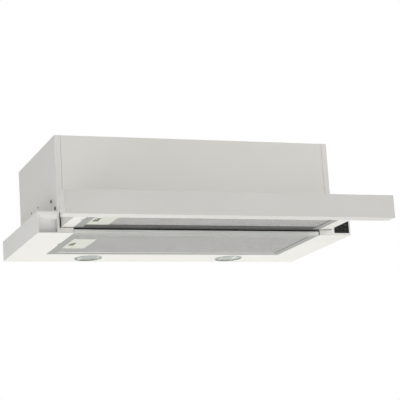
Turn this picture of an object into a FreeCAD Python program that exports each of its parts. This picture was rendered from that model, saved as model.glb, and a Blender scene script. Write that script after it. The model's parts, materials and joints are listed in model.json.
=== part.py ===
import FreeCAD, Part
import Sketcher
import math
import os
import re

# Slide-out range hood for a 600 mm wall cabinet. Millimetres, +Z up, front towards -Y.
# The origin is the centre of the four cabinet screws, on the plane that seats against the cabinet.
# The pose is the one with the visor pulled out and both grease filters latched.

doc = FreeCAD.newDocument("range_hood")

# Driving sizes: name, value, what it sets
sizes = [
    ("trayWidth", 600, "whole width of the tray and of the front panel"),
    ("trayDepth", 272, "tray from its front face to its back face"),
    ("trayHeight", 38.5, "tray underside below the cabinet seat"),
    ("sheetWall", 1.0, "sheet steel thickness"),
    ("capWall", 1.5, "end cap thickness"),
    ("wingWidth", 39.2, "wing from the tray end to the visor bay"),
    ("lipClear", 1.0, "front lip below the visor"),
    ("bayGap", 2.8, "gap beside the visor in its bay"),
    ("rearBorder", 75, "tray underside behind the filter opening"),
    ("airRim", 3.5, "seat plate between the air opening and the runner feet"),
    ("airBorder", 18, "seat plate left at the front and back of the air opening"),
    ("overrun", 2.0, "how far a cutting block runs past a face"),
    ("slideGap", 0.3, "clearance between pieces that move past each other"),
    ("spinGap", 0.05, "radial clearance of a shaft or pin in its bore"),
    ("boxStep", 36, "box side in from the tray end"),
    ("boxHeight", 137.5, "upper box above the cabinet seat"),
    ("boxFlange", 10.5, "side panel wrapped onto the front and back"),
    ("boxLap", 9.0, "joggled edge of the front panel behind the flange"),
    ("seamGap", 0.5, "visible seam beside the front panel"),
    ("notchHeight", 5.0, "relief notch at the foot of the front flange"),
    ("sideHoleRadius", 2.5, "fixing holes in the box sides"),
    ("sideHoleSpacing", 50, "distance between the two fixing holes of a side"),
    ("sideHoleY", 22.5, "middle of the fixing holes behind the tray centre"),
    ("sideHoleZ", 36.2, "fixing holes above the seat"),
    ("cabinetHoleRadius", 2.2, "cabinet screw holes in the seat plate"),
    ("cabinetHoleIn", 18, "cabinet screws in from the tray ends"),
    ("cabinetHoleBehind", 56, "cabinet screws in from the tray front and back"),
    ("screwRadius", 2.0, "sheet metal screw shank"),
    ("screwHead", 3.2, "sheet metal screw head radius"),
    ("screwHeadHigh", 1.6, "sheet metal screw head height"),
    ("screwLength", 7.0, "sheet metal screw shank length"),
    ("screwLowY", 13.6, "lower side screw behind the tray front"),
    ("screwLowZ", 8.2, "lower side screw above the seat"),
    ("screwHighY", 38.8, "upper side screw behind the tray front"),
    ("screwHighZ", 26, "upper side screw above the seat"),
    ("insertDepth", 14, "wing insert, front to back"),
    ("insertWall", 3.0, "front wall of a wing insert"),
    ("insertSkin", 1.5, "side walls of a wing insert"),
    ("recessDepth", 8.5, "blank recess depth"),
    ("recessTop", 6.5, "insert frame above the recess and the control window"),
    ("recessSide", 4.2, "insert frame towards the visor"),
    ("recessFoot", 0.8, "insert frame below the blank recess"),
    ("recessSlope", 6.2, "how far the recess ceiling slopes down"),
    ("recessDraft", 1.5, "how far the recess sides slope in"),
    ("windowSide", 1.6, "insert frame between the control plate and the end"),
    ("windowFoot", 3.2, "insert frame below the control plate"),
    ("windowLedge", 1.3, "ledge that carries the control plate"),
    ("plateWall", 1.5, "control plate thickness"),
    ("buttonWide", 9.0, "push button width"),
    ("buttonHigh", 4.4, "push button height"),
    ("buttonProud", 0.4, "push button in front of the control plate"),
    ("buttonPitchX", 16, "button columns apart"),
    ("buttonPitchZ", 7.6, "button rows apart"),
    ("buttonInX", 7.0, "first button column from the plate edge"),
    ("buttonLowZ", 7.4, "lowest button row above the plate's lower edge"),
    ("buttonRim", 0.5, "retaining rim around a button behind the plate"),
    ("buttonStroke", 1.0, "button travel"),
    ("boardWall", 1.6, "circuit board thickness"),
    ("switchBody", 6.0, "side of a key switch on the board"),
    ("switchDeep", 3.4, "key switch height off the board"),
    ("ductRadius", 60, "outside radius of the duct spigot"),
    ("ductWall", 2.5, "spigot wall"),
    ("ductHeight", 30, "spigot above the box"),
    ("ductFlange", 10, "width of the spigot's foot flange"),
    ("ductLedge", 3.0, "ledge that the damper flaps rest on"),
    ("ductInset", 86, "duct centre in front of the tray back"),
    ("flapWall", 1.5, "damper flap thickness"),
    ("pinRadius", 1.5, "damper pin radius"),
    ("knuckleWall", 1.5, "wall of a damper knuckle"),
    ("knuckleLength", 12, "length of a damper knuckle"),
    ("knuckleIn", 12, "inner damper knuckles from the duct centre"),
    ("scrollClear", 2.0, "scroll above the seat"),
    ("fanSpare", 15.75, "scroll reach at its tongue below half the box height"),
    ("scrollStep", 5, "growth of the scroll in a quarter turn"),
    ("scrollWall", 2.0, "scroll wall"),
    ("scrollHalf", 50, "half length of the scroll chamber"),
    ("outletHalf", 41, "half depth of the fan outlet"),
    ("impellerClear", 6.0, "impeller inside the scroll"),
    ("bladeDeep", 9.0, "impeller blade, inside to outside"),
    ("bladeWall", 1.2, "impeller blade thickness"),
    ("bladeLean", 4.0, "how far a blade leans forward"),
    ("bladeCount", 28, "number of blades"),
    ("discWall", 2.0, "impeller disc and ring thickness"),
    ("hubRadius", 9.0, "impeller hub"),
    ("hubLength", 22, "impeller hub length"),
    ("shaftRadius", 4.0, "motor shaft"),
    ("shaftInside", 24, "shaft inside the motor"),
    ("motorStep", 11, "motor can radius below the impeller radius"),
    ("motorLength", 46, "motor can length"),
    ("motorCollar", 12, "motor nose through the scroll wall"),
    ("boxPartIn", 79, "terminal box centre in from the box side"),
    ("boxPartAhead", 51, "terminal box centre in front of the tray back"),
    ("boxPartWide", 74, "terminal box width"),
    ("boxPartDeep", 56, "terminal box depth"),
    ("boxPartHigh", 34, "terminal box height"),
    ("plasticWall", 2.0, "wall of small plastic pieces"),
    ("glandRadius", 9.0, "cable gland outside"),
    ("glandNeck", 6.0, "cable gland neck through the panel"),
    ("glandBore", 3.75, "cable gland bore"),
    ("glandHigh", 14, "cable gland above the panel"),
    ("lampRadius", 27.5, "lamp bezel outside"),
    ("lampLens", 25, "lamp lens radius"),
    ("lampCan", 26.4, "lamp body radius"),
    ("lampProud", 1.0, "bezel below the tray"),
    ("lampDeep", 13, "lamp body above the tray underside"),
    ("lampSkin", 1.2, "lamp body wall"),
    ("lensWall", 2.0, "lens thickness"),
    ("lampIn", 156, "lamps in from the tray ends"),
    ("lampBehind", 38, "lamp centre in front of the tray back"),
    ("channelRoom", 8.3, "room between the runner lips and the side channel"),
    ("filterClear", 3.3, "visor above the tray filter"),
    ("visorTop", 3.5, "top of the visor sides below the seat"),
    ("roofDrop", 7.0, "visor roof below the seat"),
    ("drawLess", 123, "how much less than the tray depth the visor is drawn out"),
    ("armHold", 95, "side channel that stays in the tray"),
    ("visorFront", 25, "visor front bar, front to back"),
    ("rearBarDeep", 38, "visor rear bar, front to back"),
    ("rearBarHigh", 4.5, "visor rear bar height"),
    ("panelDepth", 27, "front panel, front to back"),
    ("panelTopDrop", 2.1, "top of the front panel below the seat"),
    ("panelDrop", 4.2, "front panel below the tray underside"),
    ("panelWall", 1.2, "front panel wall"),
    ("panelCap", 1.5, "front panel end cap"),
    ("panelScrewIn", 36, "panel screws in from the filter opening"),
    ("filterGap", 1.0, "gap around a filter"),
    ("filterThick", 7.2, "grease filter thickness"),
    ("filterBar", 14, "width of the filter frame bars"),
    ("filterSetback", 2, "filter front behind the tray front"),
    ("barGroove", 3.0, "depth of the groove that holds the mesh"),
    ("meshInset", 1.2, "mesh behind the face of its frame"),
    ("meshSheet", 1.0, "thickness of one mesh layer"),
    ("latchWide", 42.5, "latch plate, side to side"),
    ("latchMargin", 9, "how much shorter the latch plate is than the visor filter window"),
    ("latchInset", 0.5, "latch plate behind the face of the filter"),
    ("latchFit", 0.2, "clearance of the mesh around the latch plate"),
    ("pocketIn", 5.0, "finger pocket from the edge of the latch plate"),
    ("pocketWide", 10, "finger pocket, side to side"),
    ("pocketFront", 10, "finger pocket in front of the filter centre"),
    ("pocketBack", 16.5, "finger pocket behind the filter centre"),
    ("pocketDeep", 4.7, "finger pocket depth"),
    ("tongueWide", 8.0, "latch tongue, front to back"),
    ("tongueThick", 3.0, "latch tongue thickness"),
    ("tongueBite", 3.0, "latch tongue over the edge that holds it"),
    ("tongueLift", 0.8, "latch tongue above the sheet that holds it"),
    ("knobWide", 5.5, "latch finger grip, side to side"),
    ("knobDrop", 0.6, "latch finger grip below the tongue"),
    ("latchStroke", 4.0, "latch travel"),
    ("catchWall", 0.5, "spring catch thickness"),
    ("catchLong", 20, "spring catch, side to side"),
    ("catchWide", 18, "spring catch, front to back"),
    ("notchWide", 9.2, "notch for the latch tongue"),
    ("notchDeep", 3.5, "depth of the notch for the latch tongue"),
    ("tabWide", 12, "filter tab width"),
    ("tabThick", 1.5, "filter tab thickness"),
    ("tabReach", 3.3, "filter tab over the edge that holds it"),
    ("tabIn", 28, "filter tabs from the filter's front and back"),
    ("slotHigh", 5.0, "height of the slots for tabs and tongue"),
    ("railWall", 1.2, "runner steel thickness"),
    ("railInset", 3.5, "fixed runner from the opening edge"),
    ("railTop", 4.0, "fixed runner's top lip below the seat"),
    ("railClear", 3.0, "fixed runner above the channel floor"),
    ("railLip", 8.0, "runner lip length"),
    ("railSeat", 8.0, "runner foot under the seat plate"),
    ("railShort", 10, "fixed runner shorter than the tray"),
    ("moverShort", 44, "moving runner shorter than the side channel"),
    ("ballRadius", 1.3, "runner ball"),
    ("ballGap", 0.1, "ball to race clearance"),
    ("ballPitch", 16, "runner balls apart"),
    ("ballCount", 4, "balls in one row"),
    ("cageWall", 0.8, "ball cage thickness"),
    ("cageFront", 14, "ball cage behind the tray front"),
]

# Sizes that follow from the driving ones, so that pieces which belong together stay together
followers = {
    "channelWidth": "railInset + railWall + railLip + channelRoom + sheetWall",
    "openingHalf": "trayWidth / 2 - wingWidth - bayGap - channelWidth",
    "visorHalf": "openingHalf + channelWidth",
    "airHalf": "openingHalf + railInset - railSeat - airRim",
    "boxWidth": "trayWidth - 2 * boxStep",
    "cabinetSpanX": "trayWidth - 2 * cabinetHoleIn",
    "cabinetSpanY": "trayDepth - 2 * cabinetHoleBehind",
    "ductBehind": "trayDepth / 2 - ductInset",
    "knuckleOut": "ductRadius / 2",
    "fanReach": "boxHeight / 2 - fanSpare",
    "fanHeight": "scrollClear + fanReach + scrollStep",
    "impellerRadius": "fanReach - impellerClear",
    "impellerHalf": "scrollHalf - impellerClear",
    "inletRadius": "impellerRadius - bladeDeep",
    "motorRadius": "impellerRadius - motorStep",
    "motorScrewRing": "(motorRadius + motorCollar) / 2",
    "boxPartX": "boxWidth / 2 - boxPartIn",
    "boxPartY": "trayDepth / 2 - boxPartAhead",
    "lampSpacing": "trayWidth - 2 * lampIn",
    "visorLift": "filterThick + filterClear",
    "lipHeight": "visorLift - lipClear",
    "visorDrawn": "trayDepth - drawLess",
    "visorArm": "visorDrawn + armHold",
    "visorFilterDeep": "visorDrawn - visorFront + filterGap",
    "panelHeight": "trayHeight + panelDrop - panelTopDrop",
    "panelScrewX": "openingHalf - panelScrewIn",
    "latchThick": "filterThick - latchInset - meshInset",
    "latchDeep": "visorFilterDeep - 2 * filterGap - 2 * filterBar - latchMargin",
    "railFoot": "trayHeight - visorLift - sheetWall - railClear",
    "railLength": "trayDepth - railShort",
    "moverLength": "visorArm - moverShort",
}

sheet = doc.addObject("Spreadsheet::Sheet", "sizes")
for row, (alias, value, meaning) in enumerate(sizes, start=1):
    sheet.set(f"A{row}", meaning)
    sheet.set(f"B{row}", str(value))
    sheet.setAlias(f"B{row}", alias)
doc.recompute()
aliasPattern = re.compile(r"\b(" + "|".join(alias for alias, value, meaning in sizes) + r")\b")
followerPattern = re.compile(r"\b(" + "|".join(followers) + r")\b")

# Places that many pieces share, as formulas of the driving sizes
front = "(-trayDepth / 2)"
back = "(trayDepth / 2)"
under = "(-trayHeight)"
floorTop = "(-trayHeight + sheetWall)"
plateUnder = "(-sheetWall)"
trayHalf = "(trayWidth / 2 - capWall)"
bayHalf = "(trayWidth / 2 - wingWidth)"
boxHalf = "(boxWidth / 2)"
boxTop = "(boxHeight)"
roomTop = "(boxHeight - sheetWall)"
openingFront = f"({front} + filterSetback - filterGap)"
openingBack = "(trayDepth / 2 - rearBorder)"
visorUnder = "(-trayHeight + visorLift)"
visorFloor = "(-trayHeight + visorLift + sheetWall)"
panelBack = f"({front} - visorDrawn)"
panelUnder = "(-trayHeight - panelDrop)"
visorOpenFront = f"({panelBack} + visorFront)"
visorOpenBack = f"({panelBack} + visorFront + visorFilterDeep)"
armBack = f"({panelBack} + visorArm)"
trayLatchY = f"(({openingFront} + {openingBack}) / 2)"
visorLatchY = f"(({visorOpenFront} + {visorOpenBack}) / 2)"
lampY = "(trayDepth / 2 - lampBehind)"
insertBack = f"({front} + insertDepth)"
insertTop = plateUnder
plateLow = "(-trayHeight + sheetWall + windowFoot)"
plateHigh = "(-recessTop)"
plateInner = f"({bayHalf} + recessSide + windowSide)"
plateOuter = f"({trayHalf} - windowSide)"
fanY = "(ductBehind + outletHalf - fanReach - 3 * scrollStep)"
damperZ = "(boxHeight + ductLedge + slideGap + flapWall / 2)"

nodes = []


def bind(thing, prop, text):
    while followerPattern.search(text):
        text = followerPattern.sub(lambda found: f"({followers[found[1]]})", text)
    thing.setExpression(prop, aliasPattern.sub(r"sizes.\1", text))


def place(thing, x, y, z):
    for axis, text in zip("xyz", (x, y, z)):
        bind(thing, f"Placement.Base.{axis}", text)


def node(thing, label):
    thing.Label = label
    nodes.append(thing)
    return thing


def block(name, xs, ys, zs):
    box = doc.addObject("Part::Box", name)
    for prop, (low, high) in zip(("Length", "Width", "Height"), (xs, ys, zs)):
        bind(box, prop, f"({high}) - ({low})")
    place(box, xs[0], ys[0], zs[0])
    return box


along = {
    "x": FreeCAD.Rotation(FreeCAD.Vector(0, 1, 0), 90),
    "y": FreeCAD.Rotation(FreeCAD.Vector(1, 0, 0), -90),
    "z": FreeCAD.Rotation(),
}


def rod(name, radius, length, x, y, z, axis="z"):
    cylinder = doc.addObject("Part::Cylinder", name)
    cylinder.Placement = FreeCAD.Placement(FreeCAD.Vector(), along[axis])
    bind(cylinder, "Radius", radius)
    bind(cylinder, "Height", length)
    place(cylinder, x, y, z)
    return cylinder


def join(name, pieces):
    fuse = doc.addObject("Part::MultiFuse", name)
    fuse.Shapes = pieces
    fuse.Refine = True
    return fuse


def group(name, pieces):
    bundle = doc.addObject("Part::Compound", name)
    bundle.Links = pieces
    return bundle


def cut(name, base, tools):
    trimmed = doc.addObject("Part::Cut", name)
    trimmed.Base = base
    trimmed.Tool = tools[0] if len(tools) == 1 else join(name + "_tools", tools)
    return trimmed


# Low and high x of a stretch that is given from the middle outwards
def span(side, inner, outer):
    if side == "left":
        return (f"-({outer})", f"-({inner})")
    return (inner, outer)


def mirrored(side, text):
    return f"-({text})" if side == "left" else text


def bodyPlane(body, role):
    return next(item for item in body.Origin.OriginFeatures if item.Role == role)


# A closed outline whose corners are held by two bound distances each.
# It starts as a unit polygon, and the distances pull it to its size.
def outline(body, name, role, loops):
    sketch = body.newObject("Sketcher::SketchObject", name)
    sketch.AttachmentSupport = (bodyPlane(body, role), "")
    sketch.MapMode = "FlatFace"
    first = 0
    for corners in loops:
        count = len(corners)
        turn = 2 * math.pi / count
        ring = [FreeCAD.Vector(math.cos(turn * i), math.sin(turn * i), 0) for i in range(count)]
        for i in range(count):
            sketch.addGeometry(Part.LineSegment(ring[i], ring[(i + 1) % count]), False)
        for i in range(count):
            after = first + (i + 1) % count
            sketch.addConstraint(Sketcher.Constraint("Coincident", first + i, 2, after, 1))
        for i, (across, upward) in enumerate(corners):
            for kind, text in (("DistanceX", across), ("DistanceY", upward)):
                index = sketch.addConstraint(Sketcher.Constraint(kind, -1, 1, first + i, 1, 1.0))
                bind(sketch, f"Constraints[{index}]", text)
        first += count
    return sketch


def rectangle(xs, ys):
    return [(xs[0], ys[0]), (xs[1], ys[0]), (xs[1], ys[1]), (xs[0], ys[1])]


# A profile across the hood (x, z) run forward from its back end
def strip(label, corners, backEnd, length):
    body = doc.addObject("PartDesign::Body", label + "_body")
    sketch = outline(body, label + "_profile", "XZ_Plane", [corners])
    pad = body.newObject("PartDesign::Pad", label + "_run")
    pad.Profile = sketch
    bind(pad, "Length", length)
    bind(body, "Placement.Base.y", backEnd)
    return body


# A profile (radius, height) turned about the vertical axis
def turned(label, corners):
    body = doc.addObject("PartDesign::Body", label + "_body")
    sketch = outline(body, label + "_profile", "XZ_Plane", [corners])
    spin = body.newObject("PartDesign::Revolution", label + "_turn")
    spin.Profile = sketch
    spin.ReferenceAxis = (sketch, ["V_Axis"])
    spin.Angle = 360
    return body


# Tray: underside with the filter opening, lamp holes, lips and back wall
def makeTray():
    floor = block("tray_floor", (f"-{trayHalf}", trayHalf), (front, back), (under, floorTop))
    wall = block("tray_back", (f"-{trayHalf}", trayHalf), (f"{back} - sheetWall", back),
                 (floorTop, plateUnder))
    lips = [block(f"tray_lip_{side}", span(side, "openingHalf", bayHalf),
                  (front, f"{front} + sheetWall"), (floorTop, f"{under} + lipHeight"))
            for side in ("left", "right")]
    opening = block("tray_opening", ("-openingHalf", "openingHalf"),
                    (f"{front} - overrun", openingBack), (f"{under} - overrun", f"{floorTop} + overrun"))
    holes = [rod(f"tray_lamp_hole_{side}", "lampCan + slideGap", "sheetWall + 2 * overrun",
                 mirrored(side, "lampSpacing / 2"), lampY, f"{under} - overrun")
             for side in ("left", "right")]
    notch = block("tray_latch_notch", span("left", "openingHalf - overrun", "openingHalf + notchDeep"),
                  (f"{trayLatchY} - notchWide / 2", f"{trayLatchY} + notchWide / 2"),
                  (f"{under} - overrun", f"{floorTop} + overrun"))
    whole = join("tray_sheet", [floor, wall] + lips)
    node(cut("tray_cut", whole, [opening, notch] + holes), "tray_underside")


# Seat plate: closes the tray on top, carries the box and takes the cabinet screws
def makeSeatPlate():
    plate = block("seat_sheet", (f"-{trayHalf}", trayHalf), (front, back), (plateUnder, "0"))
    air = block("seat_air", ("-airHalf", "airHalf"), (f"{front} + airBorder", f"{back} - airBorder"),
                (f"{plateUnder} - overrun", "overrun"))
    holes = []
    for i, x in enumerate(("-cabinetSpanX / 2", "cabinetSpanX / 2")):
        for j, y in enumerate(("-cabinetSpanY / 2", "cabinetSpanY / 2")):
            holes.append(rod(f"seat_hole_{i}_{j}", "cabinetHoleRadius", "sheetWall + 2 * overrun",
                             x, y, f"{plateUnder} - overrun"))
    node(cut("seat_cut", plate, [air] + holes), "seat_plate")


def makeWings():
    for side in ("left", "right"):
        node(block(f"partition_{side}_sheet", span(side, bayHalf, f"{bayHalf} + sheetWall"),
                   (insertBack, f"{back} - sheetWall"), (floorTop, plateUnder)), f"wing_wall_{side}")
        node(block(f"cap_{side}", span(side, trayHalf, "trayWidth / 2"), (front, back), (under, "0")),
             f"end_cap_{side}")


# Blank insert in the left wing front, with its sloping recess
def makeBlankInsert():
    xs = span("left", bayHalf, trayHalf)
    ys = (front, insertBack)
    shell = block("blank_outside", xs, ys, (floorTop, insertTop))
    hollow = block("blank_hollow", (f"{xs[0]} + insertSkin", f"{xs[1]} - insertSkin"),
                   (f"{front} + recessDepth + insertWall", f"{insertBack} + overrun"),
                   (f"{floorTop} + insertSkin", f"{insertTop} - insertSkin"))
    wedge = doc.addObject("Part::Wedge", "blank_recess")
    low = f"{floorTop} + recessFoot"
    ends = {
        "Xmin": f"-{trayHalf} + sheetWall", "Xmax": f"-{bayHalf} - recessSide",
        "Zmin": low, "Zmax": "-recessTop", "Ymin": front, "Ymax": f"{front} + recessDepth",
        "X2min": f"-{trayHalf} + sheetWall + recessDraft",
        "X2max": f"-{bayHalf} - recessSide - recessDraft",
        "Z2min": low, "Z2max": "-recessTop - recessSlope",
    }
    for prop, text in ends.items():
        bind(wedge, prop, text)
    node(cut("blank_cut", shell, [hollow, wedge]), "blank_insert")


def buttonCentres():
    centres = []
    for column in range(2):
        for row in range(2):
            centres.append((f"({plateInner} + buttonInX + {column} * buttonPitchX)",
                            f"({plateLow} + buttonLowZ + {row} * buttonPitchZ)"))
    return centres


# Control end: housing, gloss plate, board with key switches, four push buttons
def makeControls():
    xs = (bayHalf, trayHalf)
    shell = block("control_outside", xs, (front, insertBack), (floorTop, insertTop))
    hollow = block("control_hollow", (f"{xs[0]} + insertSkin", f"{xs[1]} - insertSkin"),
                   (f"{front} + insertWall", f"{insertBack} + overrun"),
                   (f"{floorTop} + insertSkin", f"{insertTop} - insertSkin"))
    window = block("control_window", (plateInner, plateOuter), (f"{front} - overrun", f"{front} + plateWall"),
                   (plateLow, plateHigh))
    through = block("control_through", (f"{plateInner} + windowLedge", f"{plateOuter} - windowLedge"),
                    (front, f"{front} + insertWall + overrun"),
                    (f"{plateLow} + windowLedge", f"{plateHigh} - windowLedge"))
    node(cut("control_shell", shell, [hollow, window, through]), "control_housing")

    plate = block("plate_sheet", (plateInner, plateOuter), (front, f"{front} + plateWall"),
                  (plateLow, plateHigh))
    holes = [block(f"plate_hole_{i}",
                   (f"{x} - buttonWide / 2 - slideGap", f"{x} + buttonWide / 2 + slideGap"),
                   (f"{front} - overrun", f"{front} + plateWall + overrun"),
                   (f"{z} - buttonHigh / 2 - slideGap", f"{z} + buttonHigh / 2 + slideGap"))
             for i, (x, z) in enumerate(buttonCentres())]
    node(cut("plate_cut", plate, holes), "control_plate")

    boardFront = f"({insertBack} - boardWall)"
    board = block("board_sheet", (f"{xs[0]} + insertSkin", f"{xs[1]} - insertSkin"),
                  (boardFront, insertBack), (f"{floorTop} + insertSkin", f"{insertTop} - insertSkin"))
    switchFront = f"({boardFront} - switchDeep)"
    switches = [block(f"board_switch_{i}", (f"{x} - switchBody / 2", f"{x} + switchBody / 2"),
                      (switchFront, boardFront), (f"{z} - switchBody / 2", f"{z} + switchBody / 2"))
                for i, (x, z) in enumerate(buttonCentres())]
    node(join("board_whole", [board] + switches), "control_board")

    names = ("light_button", "low_speed_button", "middle_speed_button", "high_speed_button")
    rimFront = f"({front} + plateWall + slideGap)"
    for i, (label, (x, z)) in enumerate(zip(names, buttonCentres())):
        cap = block(f"button_cap_{i}", (f"{x} - buttonWide / 2", f"{x} + buttonWide / 2"),
                    (f"{front} - buttonProud", f"{switchFront} - buttonStroke - slideGap"),
                    (f"{z} - buttonHigh / 2", f"{z} + buttonHigh / 2"))
        rim = block(f"button_rim_{i}",
                    (f"{x} - buttonWide / 2 - slideGap - buttonRim", f"{x} + buttonWide / 2 + slideGap + buttonRim"),
                    (rimFront, f"{rimFront} + buttonStroke"),
                    (f"{z} - buttonHigh / 2 - slideGap - buttonRim", f"{z} + buttonHigh / 2 + slideGap + buttonRim"))
        node(join(f"button_whole_{i}", [cap, rim]), label)


def sideHoleCentres():
    return [("sideHoleY - sideHoleSpacing / 2", "sideHoleZ"), ("sideHoleY + sideHoleSpacing / 2", "sideHoleZ")]


def sideScrewCentres():
    return [(f"{front} + screwLowY", "screwLowZ"), (f"{front} + screwHighY", "screwHighZ")]


# Upper box of five sheets: the sides wrap onto the front and the back
def makeBox():
    for side in ("left", "right"):
        web = block(f"side_web_{side}", span(side, f"{boxHalf} - sheetWall", boxHalf), (front, back),
                    ("0", boxTop))
        flanges = [block(f"side_flange_{side}_{end}", span(side, f"{boxHalf} - boxFlange", f"{boxHalf} - sheetWall"),
                         ys, ("0", boxTop))
                   for end, ys in (("front", (front, f"{front} + sheetWall")),
                                   ("back", (f"{back} - sheetWall", back)))]
        start = mirrored(side, f"{boxHalf} - sheetWall - overrun") if side == "right" else f"-{boxHalf} - overrun"
        holes = [rod(f"side_hole_{side}_{i}", "sideHoleRadius", "sheetWall + 2 * overrun", start, y, z, "x")
                 for i, (y, z) in enumerate(sideHoleCentres())]
        holes += [rod(f"side_screw_hole_{side}_{i}", "screwRadius", "sheetWall + 2 * overrun", start, y, z, "x")
                  for i, (y, z) in enumerate(sideScrewCentres())]
        notch = block(f"side_notch_{side}", span(side, f"{boxHalf} - boxFlange - overrun", f"{boxHalf} - sheetWall"),
                      (f"{front} - overrun", f"{front} + sheetWall + overrun"), ("0 - overrun", "notchHeight"))
        whole = join(f"side_whole_{side}", [web] + flanges)
        node(cut(f"side_cut_{side}", whole, holes + [notch]), f"box_side_{side}")

    faceHalf = f"({boxHalf} - boxFlange - seamGap)"
    face = block("front_face", (f"-{faceHalf}", faceHalf), (front, f"{front} + sheetWall"), ("0", boxTop))
    laps = [block(f"front_lap_{side}", span(side, f"{faceHalf} - boxLap", f"{boxHalf} - sheetWall"),
                  (f"{front} + sheetWall", f"{front} + 2 * sheetWall"), ("0", roomTop))
            for side in ("left", "right")]
    node(join("front_whole", [face] + laps), "box_front_panel")

    inner = f"({boxHalf} - sheetWall)"
    node(block("back_sheet", (f"-{inner}", inner), (f"{back} - 2 * sheetWall", f"{back} - sheetWall"),
               ("0", roomTop)), "box_back_panel")

    top = block("top_sheet", (f"-{inner}", inner), (f"{front} + sheetWall", f"{back} - sheetWall"),
                (roomTop, boxTop))
    duct = rod("top_duct_hole", "ductRadius - ductWall", "sheetWall + 2 * overrun", "0", "ductBehind",
               f"{roomTop} - overrun")
    gland = rod("top_gland_hole", "glandNeck", "sheetWall + 2 * overrun", "boxPartX", "boxPartY",
                f"{roomTop} - overrun")
    node(cut("top_cut", top, [duct, gland]), "box_top_panel")


# Screws of the box sides and of the motor, all alike
def makeScrews():
    screws = []
    for side in ("left", "right"):
        for i, (y, z) in enumerate(sideScrewCentres()):
            outside = f"-{boxHalf} - screwHeadHigh" if side == "left" else boxHalf
            shank = f"-{boxHalf}" if side == "left" else f"{boxHalf} - screwLength"
            head = rod(f"screw_head_{side}_{i}", "screwHead", "screwHeadHigh", outside, y, z, "x")
            stem = rod(f"screw_stem_{side}_{i}", "screwRadius", "screwLength", shank, y, z, "x")
            screws.append(join(f"screw_{side}_{i}", [head, stem]))
    for i, sign in enumerate(("+", "-")):
        y = f"{fanY} {sign} motorScrewRing"
        head = rod(f"motor_screw_head_{i}", "screwHead", "screwHeadHigh", "-scrollHalf", y, "fanHeight", "x")
        stem = rod(f"motor_screw_stem_{i}", "screwRadius", "screwLength",
                   "-scrollHalf - screwLength", y, "fanHeight", "x")
        screws.append(join(f"motor_screw_{i}", [head, stem]))
    node(group("screw_group", screws), "case_screws")


# Duct spigot with its damper: ledge, pin and two flaps that lift with the air
def makeDuct():
    bore = "(ductRadius - ductWall)"
    collar = turned("duct", [
        (f"{bore} - ductLedge", "0"), ("ductRadius + ductFlange", "0"),
        ("ductRadius + ductFlange", "plasticWall"), ("ductRadius", "plasticWall"),
        ("ductRadius", "ductHeight"), (bore, "ductHeight"),
        (bore, "ductLedge"), (f"{bore} - ductLedge", "ductLedge")])
    place(collar, "0", "ductBehind", boxTop)
    seat = rod("duct_pin_seat", "pinRadius", f"2 * {bore} + ductWall", "0",
               f"ductBehind - {bore} - ductWall / 2", damperZ, "y")
    node(cut("duct_cut", collar, [seat]), "duct_collar")
    node(rod("damper_pin_rod", "pinRadius", f"2 * {bore} + ductWall", "0",
             f"ductBehind - {bore} - ductWall / 2", damperZ, "y"), "damper_pin")
    knuckle = "(pinRadius + knuckleWall)"
    for side, starts in (("left", ("-knuckleOut", "knuckleIn - knuckleLength")),
                         ("right", ("-knuckleIn", "knuckleOut - knuckleLength"))):
        disc = rod(f"flap_disc_{side}", f"{bore} - slideGap", "flapWall", "0", "ductBehind",
                   f"{damperZ} - flapWall / 2")
        half = block(f"flap_half_{side}", span(side, f"{knuckle} + slideGap", "ductRadius"),
                     ("ductBehind - ductRadius", "ductBehind + ductRadius"),
                     (f"{damperZ} - flapWall", f"{damperZ} + flapWall"))
        wing = doc.addObject("Part::Common", f"flap_wing_{side}")
        wing.Base = disc
        wing.Tool = half
        arms = []
        bores = []
        for i, start in enumerate(starts):
            y = f"ductBehind + {start}"
            arms.append(rod(f"flap_knuckle_{side}_{i}", knuckle, "knuckleLength - slideGap", "0", y, damperZ, "y"))
            arms.append(block(f"flap_arm_{side}_{i}", span(side, "0", f"{knuckle} + flapWall"),
                              (y, f"{y} + knuckleLength - slideGap"),
                              (f"{damperZ} - flapWall / 2", f"{damperZ} + flapWall / 2")))
            bores.append(rod(f"flap_bore_{side}_{i}", "pinRadius + spinGap", "knuckleLength + 2 * overrun", "0",
                             f"{y} - overrun", damperZ, "y"))
        node(cut(f"flap_cut_{side}", join(f"flap_whole_{side}", [wing] + arms), bores), f"damper_flap_{side}")


# Filled scroll shape: three quarter rounds that grow by one step each, and the outlet above them
def scrollForm(name, inset, xs):
    turnX = FreeCAD.Vector(1, 0, 0)
    up = FreeCAD.Vector(0, 0, 1)
    ahead = FreeCAD.Vector(0, -1, 0)
    quarters = [
        ("tongue", "0", "0", "fanReach", up, ahead),
        ("front", "scrollStep", "0", "fanReach + scrollStep", ahead, up.negative()),
        ("rear", "scrollStep", "scrollStep", "fanReach + 2 * scrollStep", up.negative(), ahead.negative()),
    ]
    pieces = []
    for part, dy, dz, radius, start, end in quarters:
        sector = doc.addObject("Part::Cylinder", f"{name}_{part}")
        sector.Angle = 90
        sector.Placement = FreeCAD.Placement(FreeCAD.Vector(), FreeCAD.Rotation(start, end, turnX, "ZXY"))
        bind(sector, "Radius", f"{radius} - {inset}")
        bind(sector, "Height", f"({xs[1]}) - ({xs[0]})")
        place(sector, xs[0], f"{fanY} + {dy}", f"fanHeight + {dz}")
        pieces.append(sector)
    pieces.append(block(f"{name}_outlet", xs, (f"ductBehind - outletHalf + {inset}", f"ductBehind + outletHalf - {inset}"),
                        ("fanHeight", roomTop)))
    pieces.append(block(f"{name}_core", xs, (f"{fanY} - scrollStep", f"{fanY} + 2 * scrollStep"),
                        ("fanHeight - scrollStep", "fanHeight + 2 * scrollStep")))
    return join(name, pieces)


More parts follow.
